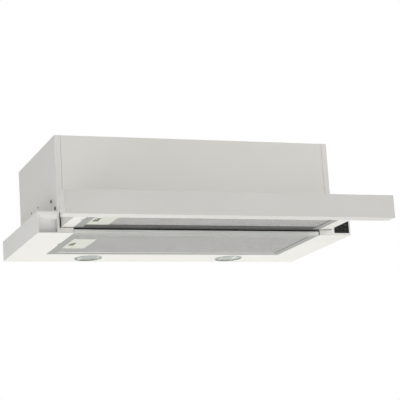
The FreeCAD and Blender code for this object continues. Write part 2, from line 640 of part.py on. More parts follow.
# Fan: moulded scroll with the motor wall, inlet side cover, motor, shaft and impeller
def makeFan():
    outside = scrollForm("scroll_outside", "0", ("-scrollHalf - scrollWall", "scrollHalf"))
    inside = scrollForm("scroll_inside", "scrollWall", ("-scrollHalf", "scrollHalf + overrun"))
    mouth = block("scroll_mouth", ("-scrollHalf", "scrollHalf + overrun"),
                  ("ductBehind - outletHalf + scrollWall", "ductBehind + outletHalf - scrollWall"),
                  ("fanHeight + fanReach", f"{roomTop} + overrun"))
    nose = rod("scroll_nose_hole", "motorCollar", "scrollWall + 2 * overrun",
               "-scrollHalf - scrollWall - overrun", fanY, "fanHeight", "x")
    screwHoles = [rod(f"scroll_screw_hole_{i}", "screwRadius", "scrollWall + 2 * overrun",
                      "-scrollHalf - scrollWall - overrun", f"{fanY} {sign} motorScrewRing", "fanHeight", "x")
                  for i, sign in enumerate(("+", "-"))]
    node(cut("scroll_cut", outside, [inside, mouth, nose] + screwHoles), "fan_scroll")

    cover = scrollForm("cover_form", "0", ("scrollHalf", "scrollHalf + scrollWall"))
    inlet = rod("cover_inlet", "inletRadius", "scrollWall + 2 * overrun", "scrollHalf - overrun", fanY,
                "fanHeight", "x")
    node(cut("cover_cut", cover, [inlet]), "fan_inlet_cover")

    can = rod("motor_can", "motorRadius", "motorLength", "-scrollHalf - scrollWall - motorLength", fanY,
              "fanHeight", "x")
    boss = rod("motor_nose", "motorCollar", "scrollWall", "-scrollHalf - scrollWall", fanY, "fanHeight", "x")
    bore = rod("motor_bore", "shaftRadius + spinGap", "shaftInside + scrollWall + overrun",
               "-scrollHalf - scrollWall - shaftInside", fanY, "fanHeight", "x")
    tapped = [rod(f"motor_tap_{i}", "screwRadius", "screwLength",
                  "-scrollHalf - screwLength", f"{fanY} {sign} motorScrewRing", "fanHeight", "x")
              for i, sign in enumerate(("+", "-"))]
    node(cut("motor_cut", join("motor_whole", [can, boss]), [bore] + tapped), "fan_motor")

    node(rod("shaft_rod", "shaftRadius", "shaftInside + scrollWall + scrollHalf - impellerHalf + hubLength - slideGap",
             "-scrollHalf - scrollWall - shaftInside + slideGap", fanY, "fanHeight", "x"), "motor_shaft")

    body = doc.addObject("PartDesign::Body", "impeller_body")
    disc = outline(body, "impeller_disc", "XZ_Plane", [[
        ("shaftRadius", "0"), ("impellerRadius", "0"), ("impellerRadius", "discWall"),
        ("hubRadius", "discWall"), ("hubRadius", "hubLength"), ("shaftRadius", "hubLength")]])
    turn = body.newObject("PartDesign::Revolution", "impeller_disc_turn")
    turn.Profile = disc
    turn.ReferenceAxis = (disc, ["V_Axis"])
    turn.Angle = 360
    blade = outline(body, "impeller_blade", "XY_Plane", [[
        ("impellerRadius - bladeDeep", "0"), ("impellerRadius - bladeLean / 4", "bladeLean"),
        ("impellerRadius - bladeLean / 4", "bladeLean + bladeWall"),
        ("impellerRadius - bladeDeep", "bladeWall")]])
    lift = body.newObject("PartDesign::Pad", "impeller_blade_run")
    lift.Profile = blade
    bind(lift, "Length", "2 * impellerHalf")
    doc.recompute()
    ringOf = body.newObject("PartDesign::PolarPattern", "impeller_blades")
    ringOf.Originals = [lift]
    ringOf.Axis = (bodyPlane(body, "Z_Axis"), [""])
    ringOf.Angle = 360
    bind(ringOf, "Occurrences", "bladeCount")
    body.Tip = ringOf
    rim = outline(body, "impeller_rim", "XZ_Plane", [[
        ("impellerRadius - bladeDeep", "2 * impellerHalf - discWall"),
        ("impellerRadius", "2 * impellerHalf - discWall"),
        ("impellerRadius", "2 * impellerHalf"), ("impellerRadius - bladeDeep", "2 * impellerHalf")]])
    rimTurn = body.newObject("PartDesign::Revolution", "impeller_rim_turn")
    rimTurn.Profile = rim
    rimTurn.ReferenceAxis = (rim, ["V_Axis"])
    rimTurn.Angle = 360
    body.Placement = FreeCAD.Placement(FreeCAD.Vector(), along["x"])
    place(body, "-impellerHalf", fanY, "fanHeight")
    node(body, "impeller")


# Terminal box under the top panel, and the gland above it for the mains lead
def makeElectrics():
    xs = ("boxPartX - boxPartWide / 2", "boxPartX + boxPartWide / 2")
    ys = ("boxPartY - boxPartDeep / 2", "boxPartY + boxPartDeep / 2")
    shell = block("terminal_outside", xs, ys, (f"{roomTop} - boxPartHigh", roomTop))
    hollow = block("terminal_hollow", (f"{xs[0]} + plasticWall", f"{xs[1]} - plasticWall"),
                   (f"{ys[0]} + plasticWall", f"{ys[1]} - plasticWall"),
                   (f"{roomTop} - boxPartHigh + plasticWall", f"{roomTop} + overrun"))
    node(cut("terminal_cut", shell, [hollow]), "terminal_box")
    gland = turned("gland", [
        ("glandBore", "-glandNeck - sheetWall"), ("glandNeck", "-glandNeck - sheetWall"), ("glandNeck", "0"),
        ("glandRadius", "0"), ("glandRadius", "glandHigh / 2"), ("glandRadius - glandBore / 2", "glandHigh"),
        ("glandBore", "glandHigh")])
    place(gland, "boxPartX", "boxPartY", boxTop)
    node(gland, "cable_gland")


# Lamps: bezel and body in one turned piece, and the frosted lens in it
def makeLamps():
    for side in ("left", "right"):
        x = mirrored(side, "lampSpacing / 2")
        housing = turned(f"lamp_{side}", [
            ("lampLens", "-lampProud"), ("lampRadius - lampProud", "-lampProud"), ("lampRadius", "0"),
            ("lampCan", "0"), ("lampCan", "lampDeep"), ("0", "lampDeep"), ("0", "lampDeep - lampSkin"),
            ("lampCan - lampSkin", "lampDeep - lampSkin"),
            ("lampCan - lampSkin", "lensWall"), ("lampLens", "lensWall")])
        place(housing, x, lampY, under)
        node(housing, f"lamp_housing_{side}")
        node(rod(f"lens_{side}", "lampLens", "lensWall", x, lampY, under), f"lamp_lens_{side}")


# Runners: C-shaped steel, the fixed one hung from the seat plate, the moving one on the visor side
def makeRunners():
    web = "(openingHalf + railInset)"
    lipOut = f"({web} + railWall + railLip)"
    moverWeb = "(visorHalf - sheetWall)"
    moverIn = f"({moverWeb} - railWall - railLip - 2 * railWall)"
    race = "(2 * (ballRadius + ballGap))"
    topRace = "(-railTop - railWall)"
    footRace = "(-railFoot + railWall)"
    for side in ("left", "right"):
        fixed = [(mirrored(side, x), z) for x, z in (
            (f"{web} - railSeat", plateUnder), (f"{web} + railWall", plateUnder),
            (f"{web} + railWall", "-railTop"), (lipOut, "-railTop"), (lipOut, topRace),
            (f"{web} + railWall", topRace), (f"{web} + railWall", footRace), (lipOut, footRace),
            (lipOut, "-railFoot"), (web, "-railFoot"), (web, f"{plateUnder} - railWall"),
            (f"{web} - railSeat", f"{plateUnder} - railWall"))]
        node(strip(f"rail_{side}", fixed, f"{front} + sheetWall + railLength", "railLength"),
             f"runner_fixed_{side}")
        highTop = f"({topRace} - {race})"
        lowFoot = f"({footRace} + {race})"
        moving = [(mirrored(side, x), z) for x, z in (
            (moverWeb, highTop), (moverWeb, lowFoot), (moverIn, lowFoot), (moverIn, f"{lowFoot} + railWall"),
            (f"{moverWeb} - railWall", f"{lowFoot} + railWall"),
            (f"{moverWeb} - railWall", f"{highTop} - railWall"), (moverIn, f"{highTop} - railWall"),
            (moverIn, highTop))]
        node(strip(f"mover_{side}", moving, armBack, "moverLength"), f"runner_moving_{side}")

        cageIn = f"({web} + railWall + slideGap)"
        cageOut = f"({lipOut} + slideGap)"
        topMid = f"({topRace} - {race} / 2)"
        footMid = f"({footRace} + {race} / 2)"
        long = "(ballCount * ballPitch)"
        ys = (f"{front} + cageFront", f"{front} + cageFront + {long}")
        spine = block(f"cage_spine_{side}", span(side, cageIn, f"{cageIn} + cageWall"), ys, (footMid, topMid))
        leaves = [block(f"cage_leaf_{side}_{i}", span(side, cageIn, cageOut), ys,
                        (f"{z} - cageWall / 2", f"{z} + cageWall / 2")) for i, z in enumerate((topMid, footMid))]
        ballX = f"({web} + railWall + railLip - 2 * ballRadius)"
        holes = []
        balls = []
        for level, z in enumerate((topMid, footMid)):
            for i in range(int(sheet.get("ballCount"))):
                y = f"{ys[0]} + ({i} + 1 / 2) * ballPitch"
                holes.append(rod(f"cage_hole_{side}_{level}_{i}", "ballRadius + spinGap", "cageWall + 2 * overrun",
                                 mirrored(side, ballX), y, f"{z} - cageWall / 2 - overrun"))
                ball = doc.addObject("Part::Sphere", f"cage_ball_{side}_{level}_{i}")
                bind(ball, "Radius", "ballRadius")
                place(ball, mirrored(side, ballX), y, z)
                balls.append(ball)
        cage = cut(f"cage_cut_{side}", join(f"cage_whole_{side}", [spine] + leaves), holes)
        node(group(f"cage_group_{side}", [cage] + balls), f"ball_cage_{side}")


# Grease filter in its opening, with two tabs, and its latch and latch plate centred on latchY.
# low is the underside of the sheet around the opening.
def makeFilter(which, frontEdge, backEdge, low, latchY):
    left = "(-openingHalf + filterGap)"
    right = "(openingHalf - filterGap)"
    near = f"({frontEdge} + filterGap)"
    far = f"({backEdge} - filterGap)"
    face = low
    top = f"({low} + filterThick)"
    xs = (left, right)
    ys = (near, far)
    inX = (f"{left} + filterBar", f"{right} - filterBar")
    inY = (f"{near} + filterBar", f"{far} - filterBar")
    grooveX = (f"{inX[0]} - barGroove", f"{inX[1]} + barGroove")
    grooveY = (f"{inY[0]} - barGroove", f"{inY[1]} + barGroove")
    meshLow = f"({face} + meshInset)"
    meshHigh = f"({top} - meshInset)"
    tongueLow = f"({low} + sheetWall + tongueLift)"
    tongueY = (f"{latchY} - tongueWide / 2", f"{latchY} + tongueWide / 2")
    wayY = (f"{tongueY[0]} - slideGap", f"{tongueY[1]} + slideGap")
    wayZ = (f"{tongueLow} - slideGap", f"{tongueLow} + tongueThick + slideGap")

    bars = block(f"{which}_bars", xs, ys, (face, top))
    window = block(f"{which}_window", inX, inY, (f"{face} - overrun", f"{top} + overrun"))
    groove = block(f"{which}_groove", grooveX, grooveY, (meshLow, meshHigh))
    way = block(f"{which}_bar_way", (f"{left} - overrun", f"{inX[0]} + overrun"), wayY, wayZ)
    frame = cut(f"{which}_frame_cut", bars, [window, groove, way])
    tabs = []
    for i, y in enumerate((f"({near} + tabIn)", f"({far} - tabIn)")):
        tabs.append(block(f"{which}_tab_{i}", (right, "openingHalf + tabReach"),
                          (f"{y} - tabWide / 2", f"{y} + tabWide / 2"),
                          (f"{low} + sheetWall + slideGap", f"{low} + sheetWall + slideGap + tabThick")))
    node(join(f"{which}_frame_whole", [frame] + tabs), f"{which}_filter_frame")

    plateX = (inX[0], f"{inX[0]} + latchWide")
    plateY = (f"{latchY} - latchDeep / 2", f"{latchY} + latchDeep / 2")
    plateZ = (f"{face} + latchInset", f"{face} + latchInset + latchThick")
    layers = []
    for i, z in enumerate(((meshLow, f"{meshLow} + meshSheet"), (f"{meshHigh} - meshSheet", meshHigh))):
        layer = block(f"{which}_layer_{i}", grooveX, grooveY, z)
        gap = block(f"{which}_layer_gap_{i}", (f"{grooveX[0]} - overrun", f"{plateX[1]} + latchFit"),
                    (f"{plateY[0]} - latchFit", f"{plateY[1]} + latchFit"),
                    (f"{z[0]} - overrun", f"{z[1]} + overrun"))
        layers.append(cut(f"{which}_layer_cut_{i}", layer, [gap]))
    node(group(f"{which}_layers", layers), f"{which}_filter_mesh")

    plate = block(f"{which}_plate", plateX, plateY, plateZ)
    pocketX = (f"{plateX[0]} + pocketIn", f"{plateX[0]} + pocketIn + pocketWide")
    pocket = block(f"{which}_pocket", pocketX, (f"{latchY} - pocketFront", f"{latchY} + pocketBack"),
                   (f"{plateZ[0]} - overrun", f"{plateZ[0]} + pocketDeep"))
    channel = block(f"{which}_channel", (f"{plateX[0]} - overrun", f"{pocketX[0]} + overrun"), wayY, wayZ)
    node(cut(f"{which}_plate_cut", plate, [pocket, channel]), f"{which}_latch_plate")

    tongue = block(f"{which}_tongue", ("-openingHalf - tongueBite", f"{pocketX[0]} + slideGap"), tongueY,
                   (tongueLow, f"{tongueLow} + tongueThick"))
    knob = block(f"{which}_knob", (f"{pocketX[0]} + slideGap", f"{pocketX[0]} + slideGap + knobWide"), tongueY,
                 (f"{tongueLow} - knobDrop", f"{tongueLow} + tongueThick"))
    node(join(f"{which}_latch_whole", [tongue, knob]), f"{which}_latch_slide")

    node(block(f"{which}_catch", ("-openingHalf - catchLong", "-openingHalf - sheetWall - slideGap"),
               (f"{latchY} - catchWide / 2", f"{latchY} + catchWide / 2"),
               (f"{low} + sheetWall", f"{low} + sheetWall + catchWall")), f"{which}_filter_catch")
    return f"({near} + tabIn)", f"({far} - tabIn)"


# Visor: hollow front panel, two side channels, front bar, roof and rear bar
def makeVisor():
    body = doc.addObject("PartDesign::Body", "panel_body")
    panelFront = f"({panelBack} - panelDepth)"
    panelTop = f"({panelUnder} + panelHeight)"
    ring = outline(body, "panel_ring", "YZ_Plane", [
        rectangle((panelFront, panelBack), (panelUnder, panelTop)),
        rectangle((f"{panelFront} + panelWall", f"{panelBack} - panelWall"),
                  (f"{panelUnder} + panelWall", f"{panelTop} - panelWall"))])
    run = body.newObject("PartDesign::Pad", "panel_run")
    run.Profile = ring
    bind(run, "Length", "trayWidth - 2 * panelCap")
    bind(body, "Placement.Base.x", "-trayWidth / 2 + panelCap")
    node(body, "front_panel")
    for side in ("left", "right"):
        face = block(f"panel_cap_face_{side}", span(side, "trayWidth / 2 - panelCap", "trayWidth / 2"),
                     (panelFront, panelBack), (panelUnder, panelTop))
        plug = block(f"panel_cap_plug_{side}",
                     span(side, "trayWidth / 2 - 6 * panelCap", "trayWidth / 2 - panelCap"),
                     (f"{panelFront} + panelWall", f"{panelBack} - panelWall"),
                     (f"{panelUnder} + panelWall", f"{panelTop} - panelWall"))
        core = block(f"panel_cap_core_{side}",
                     span(side, "trayWidth / 2 - 7 * panelCap", "trayWidth / 2 - panelCap"),
                     (f"{panelFront} + panelWall + panelCap", f"{panelBack} - panelWall - panelCap"),
                     (f"{panelUnder} + panelWall + panelCap", f"{panelTop} - panelWall - panelCap"))
        rim = cut(f"panel_cap_rim_{side}", plug, [core])
        node(join(f"panel_cap_whole_{side}", [face, rim]), f"panel_cap_{side}")

    tabs = makeFilter("visor", visorOpenFront, visorOpenBack, visorUnder, visorLatchY)
    for side in ("left", "right"):
        wall = "openingHalf + sheetWall"
        corners = [(mirrored(side, x), z) for x, z in (
            ("openingHalf", "-roofDrop"), ("openingHalf", visorUnder), ("visorHalf", visorUnder),
            ("visorHalf", "-visorTop"), ("visorHalf - sheetWall", "-visorTop"),
            ("visorHalf - sheetWall", visorFloor), (wall, visorFloor), (wall, "-roofDrop"))]
        channel = strip(f"channel_{side}", corners, armBack, "visorArm")
        if side == "left":
            slots = [block("channel_latch_notch", span(side, "openingHalf - overrun", "openingHalf + notchDeep"),
                           (f"{visorLatchY} - notchWide / 2", f"{visorLatchY} + notchWide / 2"),
                           (f"{visorUnder} - overrun", f"{visorFloor} + slotHigh"))]
        else:
            slots = [block(f"channel_tab_slot_{i}", span(side, "openingHalf - overrun", f"{wall} + slideGap"),
                           (f"{y} - tabWide / 2 - slideGap", f"{y} + tabWide / 2 + slideGap"),
                           (visorFloor, f"{visorFloor} + slotHigh")) for i, y in enumerate(tabs)]
        node(cut(f"channel_cut_{side}", channel, slots), f"visor_channel_{side}")

    inner = ("-openingHalf", "openingHalf")
    shelf = block("visor_shelf", inner, (panelBack, f"{visorOpenFront}"), (visorUnder, visorFloor))
    wall = block("visor_front_wall", inner, (panelBack, f"{panelBack} + sheetWall"), (visorFloor, "-roofDrop - sheetWall"))
    holes = [rod(f"visor_screw_hole_{side}", "screwRadius", "sheetWall + 2 * overrun",
                 mirrored(side, "panelScrewX"), f"{panelBack} - overrun",
                 f"({visorFloor} - roofDrop) / 2", "y") for side in ("left", "right")]
    node(cut("visor_front_cut", join("visor_front_whole", [shelf, wall]), holes), "visor_front_bar")
    node(block("visor_roof_sheet", inner, (panelBack, f"{visorOpenBack} + rearBarDeep"),
               ("-roofDrop - sheetWall", "-roofDrop")), "visor_roof")
    beam = block("rear_beam", inner, (visorOpenBack, f"{visorOpenBack} + rearBarDeep"),
                 (visorUnder, f"{visorUnder} + rearBarHigh"))
    trough = block("rear_trough", ("-openingHalf + sheetWall", "openingHalf - sheetWall"),
                   (f"{visorOpenBack} + 2 * sheetWall", f"{visorOpenBack} + rearBarDeep - 2 * sheetWall"),
                   (f"{visorUnder} + 2 * sheetWall", f"{visorUnder} + rearBarHigh + overrun"))
    node(cut("rear_cut", beam, [trough]), "visor_rear_bar")

    screws = []
    for side in ("left", "right"):
        x = mirrored(side, "panelScrewX")
        z = f"({visorFloor} - roofDrop) / 2"
        head = rod(f"panel_screw_head_{side}", "screwHead", "screwHeadHigh", x, f"{panelBack} + sheetWall", z, "y")
        stem = rod(f"panel_screw_stem_{side}", "screwRadius", "sheetWall", x, panelBack, z, "y")
        screws.append(join(f"panel_screw_{side}", [head, stem]))
    node(group("panel_screw_group", screws), "panel_screws")


makeTray()
makeSeatPlate()
makeWings()
makeBlankInsert()
makeControls()
makeBox()
makeScrews()
makeDuct()
makeFan()
makeElectrics()
makeLamps()
makeRunners()
makeFilter("tray", openingFront, openingBack, under, trayLatchY)
makeVisor()
doc.recompute()

for item in doc.Objects:
    if "Invalid" in item.State or "Error" in item.State:
        raise RuntimeError(f"{item.Name} ({item.Label}) failed: {item.State}")
for item in nodes:
    if item.Shape.isNull() or not item.Shape.isValid():
        raise RuntimeError(f"{item.Label} has no valid shape")

os.makedirs("parts", exist_ok=True)
for item in nodes:
    item.Shape.exportStep(f"parts/{item.Label}.step")
print(f"{len(nodes)} nodes written")
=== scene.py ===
import json
import math

import bmesh
import bpy
import numpy as np
from mathutils import Matrix, Vector


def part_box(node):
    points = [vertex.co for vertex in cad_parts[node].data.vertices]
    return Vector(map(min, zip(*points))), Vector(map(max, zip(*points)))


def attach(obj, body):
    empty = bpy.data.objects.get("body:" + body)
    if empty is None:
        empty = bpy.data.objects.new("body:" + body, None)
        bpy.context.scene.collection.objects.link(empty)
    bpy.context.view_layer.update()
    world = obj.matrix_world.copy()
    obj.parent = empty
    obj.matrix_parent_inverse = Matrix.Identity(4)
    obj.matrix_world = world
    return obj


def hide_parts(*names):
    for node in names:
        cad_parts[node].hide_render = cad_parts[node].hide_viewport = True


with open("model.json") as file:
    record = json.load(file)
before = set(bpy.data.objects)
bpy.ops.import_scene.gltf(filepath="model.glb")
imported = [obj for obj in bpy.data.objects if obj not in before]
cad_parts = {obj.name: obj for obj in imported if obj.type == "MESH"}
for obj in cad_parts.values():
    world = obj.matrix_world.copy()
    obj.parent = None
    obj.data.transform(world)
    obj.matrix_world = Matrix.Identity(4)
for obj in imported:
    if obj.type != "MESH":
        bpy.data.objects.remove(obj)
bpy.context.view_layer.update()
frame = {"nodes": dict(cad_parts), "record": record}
bodyOf = {node: body for body, members in frame["record"]["behaviour"]["bodies"].items() for node in members}
slotOf = {part["node"]: part["material_slot"] for part in frame["record"]["subparts"]}
mm = 0.001
print("stage: frame loaded,", len(frame["nodes"]), "nodes")

# Values of a noise between which one tone turns into the other, and the heights that bumps stand for
softSpread = (0.35, 0.65)
grainSpread = (0.3, 0.7)
skinDepth = 0.1 * mm
grainDepth = 0.2 * mm
polishScale = 30.0  # the clouds in a metal's roughness
mergeDistance = 1e-6


# Node groups for the effects that several finishes share
def newGroup(name, inputs, outputs):
    tree = bpy.data.node_groups.new(name, "ShaderNodeTree")
    for socketName, kind, value in inputs:
        socket = tree.interface.new_socket(name=socketName, in_out="INPUT", socket_type=kind)
        if value is not None:
            socket.default_value = value
    for socketName, kind in outputs:
        tree.interface.new_socket(name=socketName, in_out="OUTPUT", socket_type=kind)
    return tree, tree.nodes.new("NodeGroupInput"), tree.nodes.new("NodeGroupOutput")


def mathNode(tree, operation, first, second=None):
    node = tree.nodes.new("ShaderNodeMath")
    node.operation = operation
    for socket, value in zip(node.inputs, (first, second)):
        if isinstance(value, (int, float)):
            socket.default_value = value
        elif value is not None:
            tree.links.new(value, socket)
    return node.outputs[0]


def ramp(tree, value, low, high, outLow=0.0, outHigh=1.0):
    node = tree.nodes.new("ShaderNodeMapRange")
    tree.links.new(value, node.inputs["Value"])
    for socket, number in (("From Min", low), ("From Max", high), ("To Min", outLow), ("To Max", outHigh)):
        node.inputs[socket].default_value = number
    return node.outputs["Result"]


def splitAxes(tree, vector):
    node = tree.nodes.new("ShaderNodeSeparateXYZ")
    tree.links.new(vector, node.inputs[0])
    return node.outputs["X"], node.outputs["Y"], node.outputs["Z"]


# Cloudy noise, stretched by a factor along each axis
def makeCloudGroup():
    tree, inside, outside = newGroup("stretchedCloud", [
        ("Vector", "NodeSocketVector", None), ("Stretch", "NodeSocketVector", (1, 1, 1)),
        ("Scale", "NodeSocketFloat", 100.0), ("Detail", "NodeSocketFloat", 3.0)],
        [("Cloud", "NodeSocketFloat")])
    scaled = tree.nodes.new("ShaderNodeVectorMath")
    scaled.operation = "MULTIPLY"
    noise = tree.nodes.new("ShaderNodeTexNoise")
    tree.links.new(inside.outputs["Vector"], scaled.inputs[0])
    tree.links.new(inside.outputs["Stretch"], scaled.inputs[1])
    tree.links.new(scaled.outputs[0], noise.inputs["Vector"])
    tree.links.new(inside.outputs["Scale"], noise.inputs["Scale"])
    tree.links.new(inside.outputs["Detail"], noise.inputs["Detail"])
    tree.links.new(noise.outputs["Fac"], outside.inputs["Cloud"])
    return tree


# Diamond lattice: the product of two slanted triangle waves across x and y
def makeLatticeGroup():
    tree, inside, outside = newGroup("diamondLattice", [
        ("Vector", "NodeSocketVector", None), ("PitchX", "NodeSocketFloat", 0.004),
        ("PitchY", "NodeSocketFloat", 0.003)], [("Lattice", "NodeSocketFloat")])
    x, y, _ = splitAxes(tree, inside.outputs["Vector"])
    u = mathNode(tree, "DIVIDE", x, inside.outputs["PitchX"])
    v = mathNode(tree, "DIVIDE", y, inside.outputs["PitchY"])
    waves = [mathNode(tree, "PINGPONG", mathNode(tree, kind, u, v), 0.5) for kind in ("ADD", "SUBTRACT")]
    tree.links.new(mathNode(tree, "MULTIPLY", *waves), outside.inputs["Lattice"])
    return tree


cloudGroup = makeCloudGroup()
latticeGroup = makeLatticeGroup()


def place(tree, group, vector, **values):
    node = tree.nodes.new("ShaderNodeGroup")
    node.node_tree = group
    tree.links.new(vector, node.inputs["Vector"])
    for name, value in values.items():
        node.inputs[name].default_value = value
    return node.outputs[0]


# The colours of a Mix node are its inputs 6 and 7 and its output 2
def blendColour(tree, mask, first, second):
    mix = tree.nodes.new("ShaderNodeMix")
    mix.data_type = "RGBA"
    for socket, colour in ((mix.inputs[6], first), (mix.inputs[7], second)):
        if isinstance(colour, tuple):
            socket.default_value = (*colour, 1)
        else:
            tree.links.new(colour, socket)
    tree.links.new(mask, mix.inputs[0])
    return mix.outputs[2]


# A new material with its node tree, its shader and the point in object coordinates
def newFinish(name):
    material = bpy.data.materials.new(name)
    material.use_nodes = True
    tree = material.node_tree
    point = tree.nodes.new("ShaderNodeTexCoord").outputs["Object"]
    return material, tree, tree.nodes["Principled BSDF"], point


# The colour, and a roughness that runs from low to high with a mask
def dress(tree, shader, colour, mask, roughness):
    tree.links.new(colour, shader.inputs["Base Color"])
    tree.links.new(ramp(tree, mask, *grainSpread, *roughness), shader.inputs["Roughness"])


def bumpFrom(tree, shader, height, strength, distance):
    bump = tree.nodes.new("ShaderNodeBump")
    bump.inputs["Strength"].default_value = strength
    bump.inputs["Distance"].default_value = distance
    tree.links.new(height, bump.inputs["Height"])
    tree.links.new(bump.outputs["Normal"], shader.inputs["Normal"])


# Two close tones in soft clouds, and a fine skin that stands proud
def paintCoat(tree, shader, point, look):
    clouds = place(tree, cloudGroup, point, Scale=look["cloudScale"])
    skin = place(tree, cloudGroup, point, Scale=look["skinScale"], Detail=1.0)
    bumpFrom(tree, shader, skin, look["skinStrength"], skinDepth)
    return clouds, blendColour(tree, ramp(tree, clouds, *softSpread), look["dark"], look["light"])


# Enamel, moulding and gloss
def paintFinish(name, look):
    material, tree, shader, point = newFinish(name)
    clouds, colour = paintCoat(tree, shader, point, look)
    dress(tree, shader, colour, clouds, look["roughness"])
    shader.inputs["Specular IOR Level"].default_value = look.get("specular", 0.5)
    return material


# Metal with a grain that runs along one axis
def grainFinish(name, look):
    material, tree, shader, point = newFinish(name)
    grain = place(tree, cloudGroup, point, Scale=look["grainScale"], Stretch=look["stretch"], Detail=4.0)
    clouds = place(tree, cloudGroup, point, Scale=polishScale)
    colour = blendColour(tree, ramp(tree, grain, *grainSpread), look["dark"], look["light"])
    dress(tree, shader, colour, clouds, look["roughness"])
    shader.inputs["Metallic"].default_value = look["metallic"]
    bumpFrom(tree, shader, grain, look["grainStrength"], grainDepth)
    return material


# Filter bars: rolled aluminium whose grain follows each bar round the frame.
# The faces that look down are painted a darker grey as shade, less of it on the front bar, which is painted as
# if it caught more light, and the inner faces of the two end bars, between the front and the rear bar, carry a
# near-black painted shade.
def barFinish(name, look, low, high):
    material, tree, shader, point = newFinish(name)
    x, y, z = splitAxes(tree, point)
    side = mathNode(tree, "ABSOLUTE", x)
    along, across = [place(tree, cloudGroup, point, Scale=look["grainScale"], Stretch=stretch, Detail=4.0)
                     for stretch in ((look["drawn"], 1.0, 1.0), (1.0, look["drawn"], 1.0))]
    atEnd = mathNode(tree, "GREATER_THAN", side, look["endFrom"])
    grain = mathNode(tree, "ADD", mathNode(tree, "MULTIPLY", across, atEnd),
                     mathNode(tree, "MULTIPLY", along, mathNode(tree, "SUBTRACT", 1.0, atEnd)))
    tone = ramp(tree, grain, *grainSpread)
    # Painted shade: the faces at the bottom of the frame take the darker grey, the front bar a little less
    above = ramp(tree, z, low.z + look["shadeRise"][0], low.z + look["shadeRise"][1])
    barBack = low.y + look["bar"]
    ahead = ramp(tree, y, barBack, barBack + look["blur"], look["frontLitShare"], 0.0)
    outer = blendColour(tree, mathNode(tree, "MAXIMUM", above, ahead),
                        blendColour(tree, tone, look["shadeDark"], look["shadeLight"]),
                        blendColour(tree, tone, look["dark"], look["light"]))
    # Painted shade: near-black on the inner faces of the end bars
    inward = ramp(tree, side, look["endFrom"] + look["edge"][0], look["endFrom"] + look["edge"][1], 1.0, 0.0)
    near, far = look["corner"]
    behindFront = ramp(tree, y, barBack + near, barBack + far)
    rearFront = high.y - look["bar"]
    beforeRear = ramp(tree, y, rearFront - far, rearFront - near, 1.0, 0.0)
    inner = mathNode(tree, "MINIMUM", inward, mathNode(tree, "MINIMUM", behindFront, beforeRear))
    dress(tree, shader, blendColour(tree, inner, outer, look["inner"]), grain, look["roughness"])
    shader.inputs["Metallic"].default_value = look["metallic"]
    bumpFrom(tree, shader, grain, look["grainStrength"], grainDepth)
    return material


# Ribbed black strip: the crests, where a cosine across x is high, carry a painted highlight, paler than the
# painted shade of the grooves between them
def ribFinish(name, look, start):
    material, tree, shader, point = newFinish(name)
    x = splitAxes(tree, point)[0]
    turns = mathNode(tree, "MULTIPLY", mathNode(tree, "SUBTRACT", x, start), 2 * math.pi / ribLook["pitch"])
    clouds = place(tree, cloudGroup, point, Scale=ribLook["cloudScale"])
    height = mathNode(tree, "ADD", mathNode(tree, "COSINE", turns), clouds)
    colour = blendColour(tree, ramp(tree, height, *ribLook["crestSpread"]), look["groove"], look["crestHighlight"])
    dress(tree, shader, colour, clouds, look["roughness"])
    bumpFrom(tree, shader, clouds, ribLook["grainStrength"], grainDepth)
    return material


# Knitted filling behind the strands: a diamond lattice with uneven dark spots
def knitFinish(name, look):
    material, tree, shader, point = newFinish(name)
    lattice = place(tree, latticeGroup, point, PitchX=look["pitchX"], PitchY=look["pitchY"])
    clouds = place(tree, cloudGroup, point, Scale=look["cloudScale"])
    height = mathNode(tree, "ADD", lattice, mathNode(tree, "MULTIPLY", clouds, look["cloudShare"]))
    colour = blendColour(tree, ramp(tree, height, *look["spread"]), look["dark"], look["light"])
    dress(tree, shader, colour, clouds, look["roughness"])
    shader.inputs["Metallic"].default_value = look["metallic"]
    bumpFrom(tree, shader, height, look["strength"], look["height"])
    return material


# Lamp lens: greenish glass with pale and dark streaks that run front to back, under a clear coat
def lensFinish(name, look):
    material, tree, shader, point = newFinish(name)
    streaks = place(tree, cloudGroup, point, Scale=look["streakScale"], Stretch=look["stretch"], Detail=4.0)
    colour = blendColour(tree, ramp(tree, streaks, *look["spread"]), look["dark"], look["light"])
    dress(tree, shader, colour, streaks, look["roughness"])
    shader.inputs["Coat Weight"].default_value = look["coat"]
    shader.inputs["Coat Roughness"].default_value = look["coatRoughness"]
    bumpFrom(tree, shader, streaks, look["strength"], look["height"])
    return material


# Ivory latch plate with painted shade inside its finger pocket, olive and darker there; the shade starts a
# little above its face
def pocketFinish(name, look, face):
    material, tree, shader, point = newFinish(name)
    clouds, plain = paintCoat(tree, shader, point, look)
    z = splitAxes(tree, point)[2]
    # Painted shade of the finger pocket, from a little above the plate's face
    inside = ramp(tree, z, face + look["pocketFrom"], face + look["pocketTo"])
    dress(tree, shader, blendColour(tree, inside, plain, look["pocket"]), clouds, look["roughness"])
    return material


# Blank insert: white plastic whose recess has a painted highlight on its sloping ceiling, painted shade on its
# sides and a slightly duller face, told apart by how far behind the front and how high each point lies
def blankFinish(name, look, front):
    material, tree, shader, point = newFinish(name)
    clouds, plain = paintCoat(tree, shader, point, look)
    _, y, z = splitAxes(tree, point)
    blur, back = look["blur"], front + look["depth"]
    inner = ramp(tree, y, front + blur, front + 2 * blur)
    deep = ramp(tree, y, back - 2 * blur, back - blur)
    high = ramp(tree, z, look["ceilingFrom"] - blur, look["ceilingFrom"])
    # Painted highlight on the ceiling, painted shade on the sides
    recess = blendColour(tree, deep, blendColour(tree, high, look["side"], look["ceiling"]), look["face"])
    dress(tree, shader, blendColour(tree, inner, plain, recess), clouds, look["roughness"])
    return material


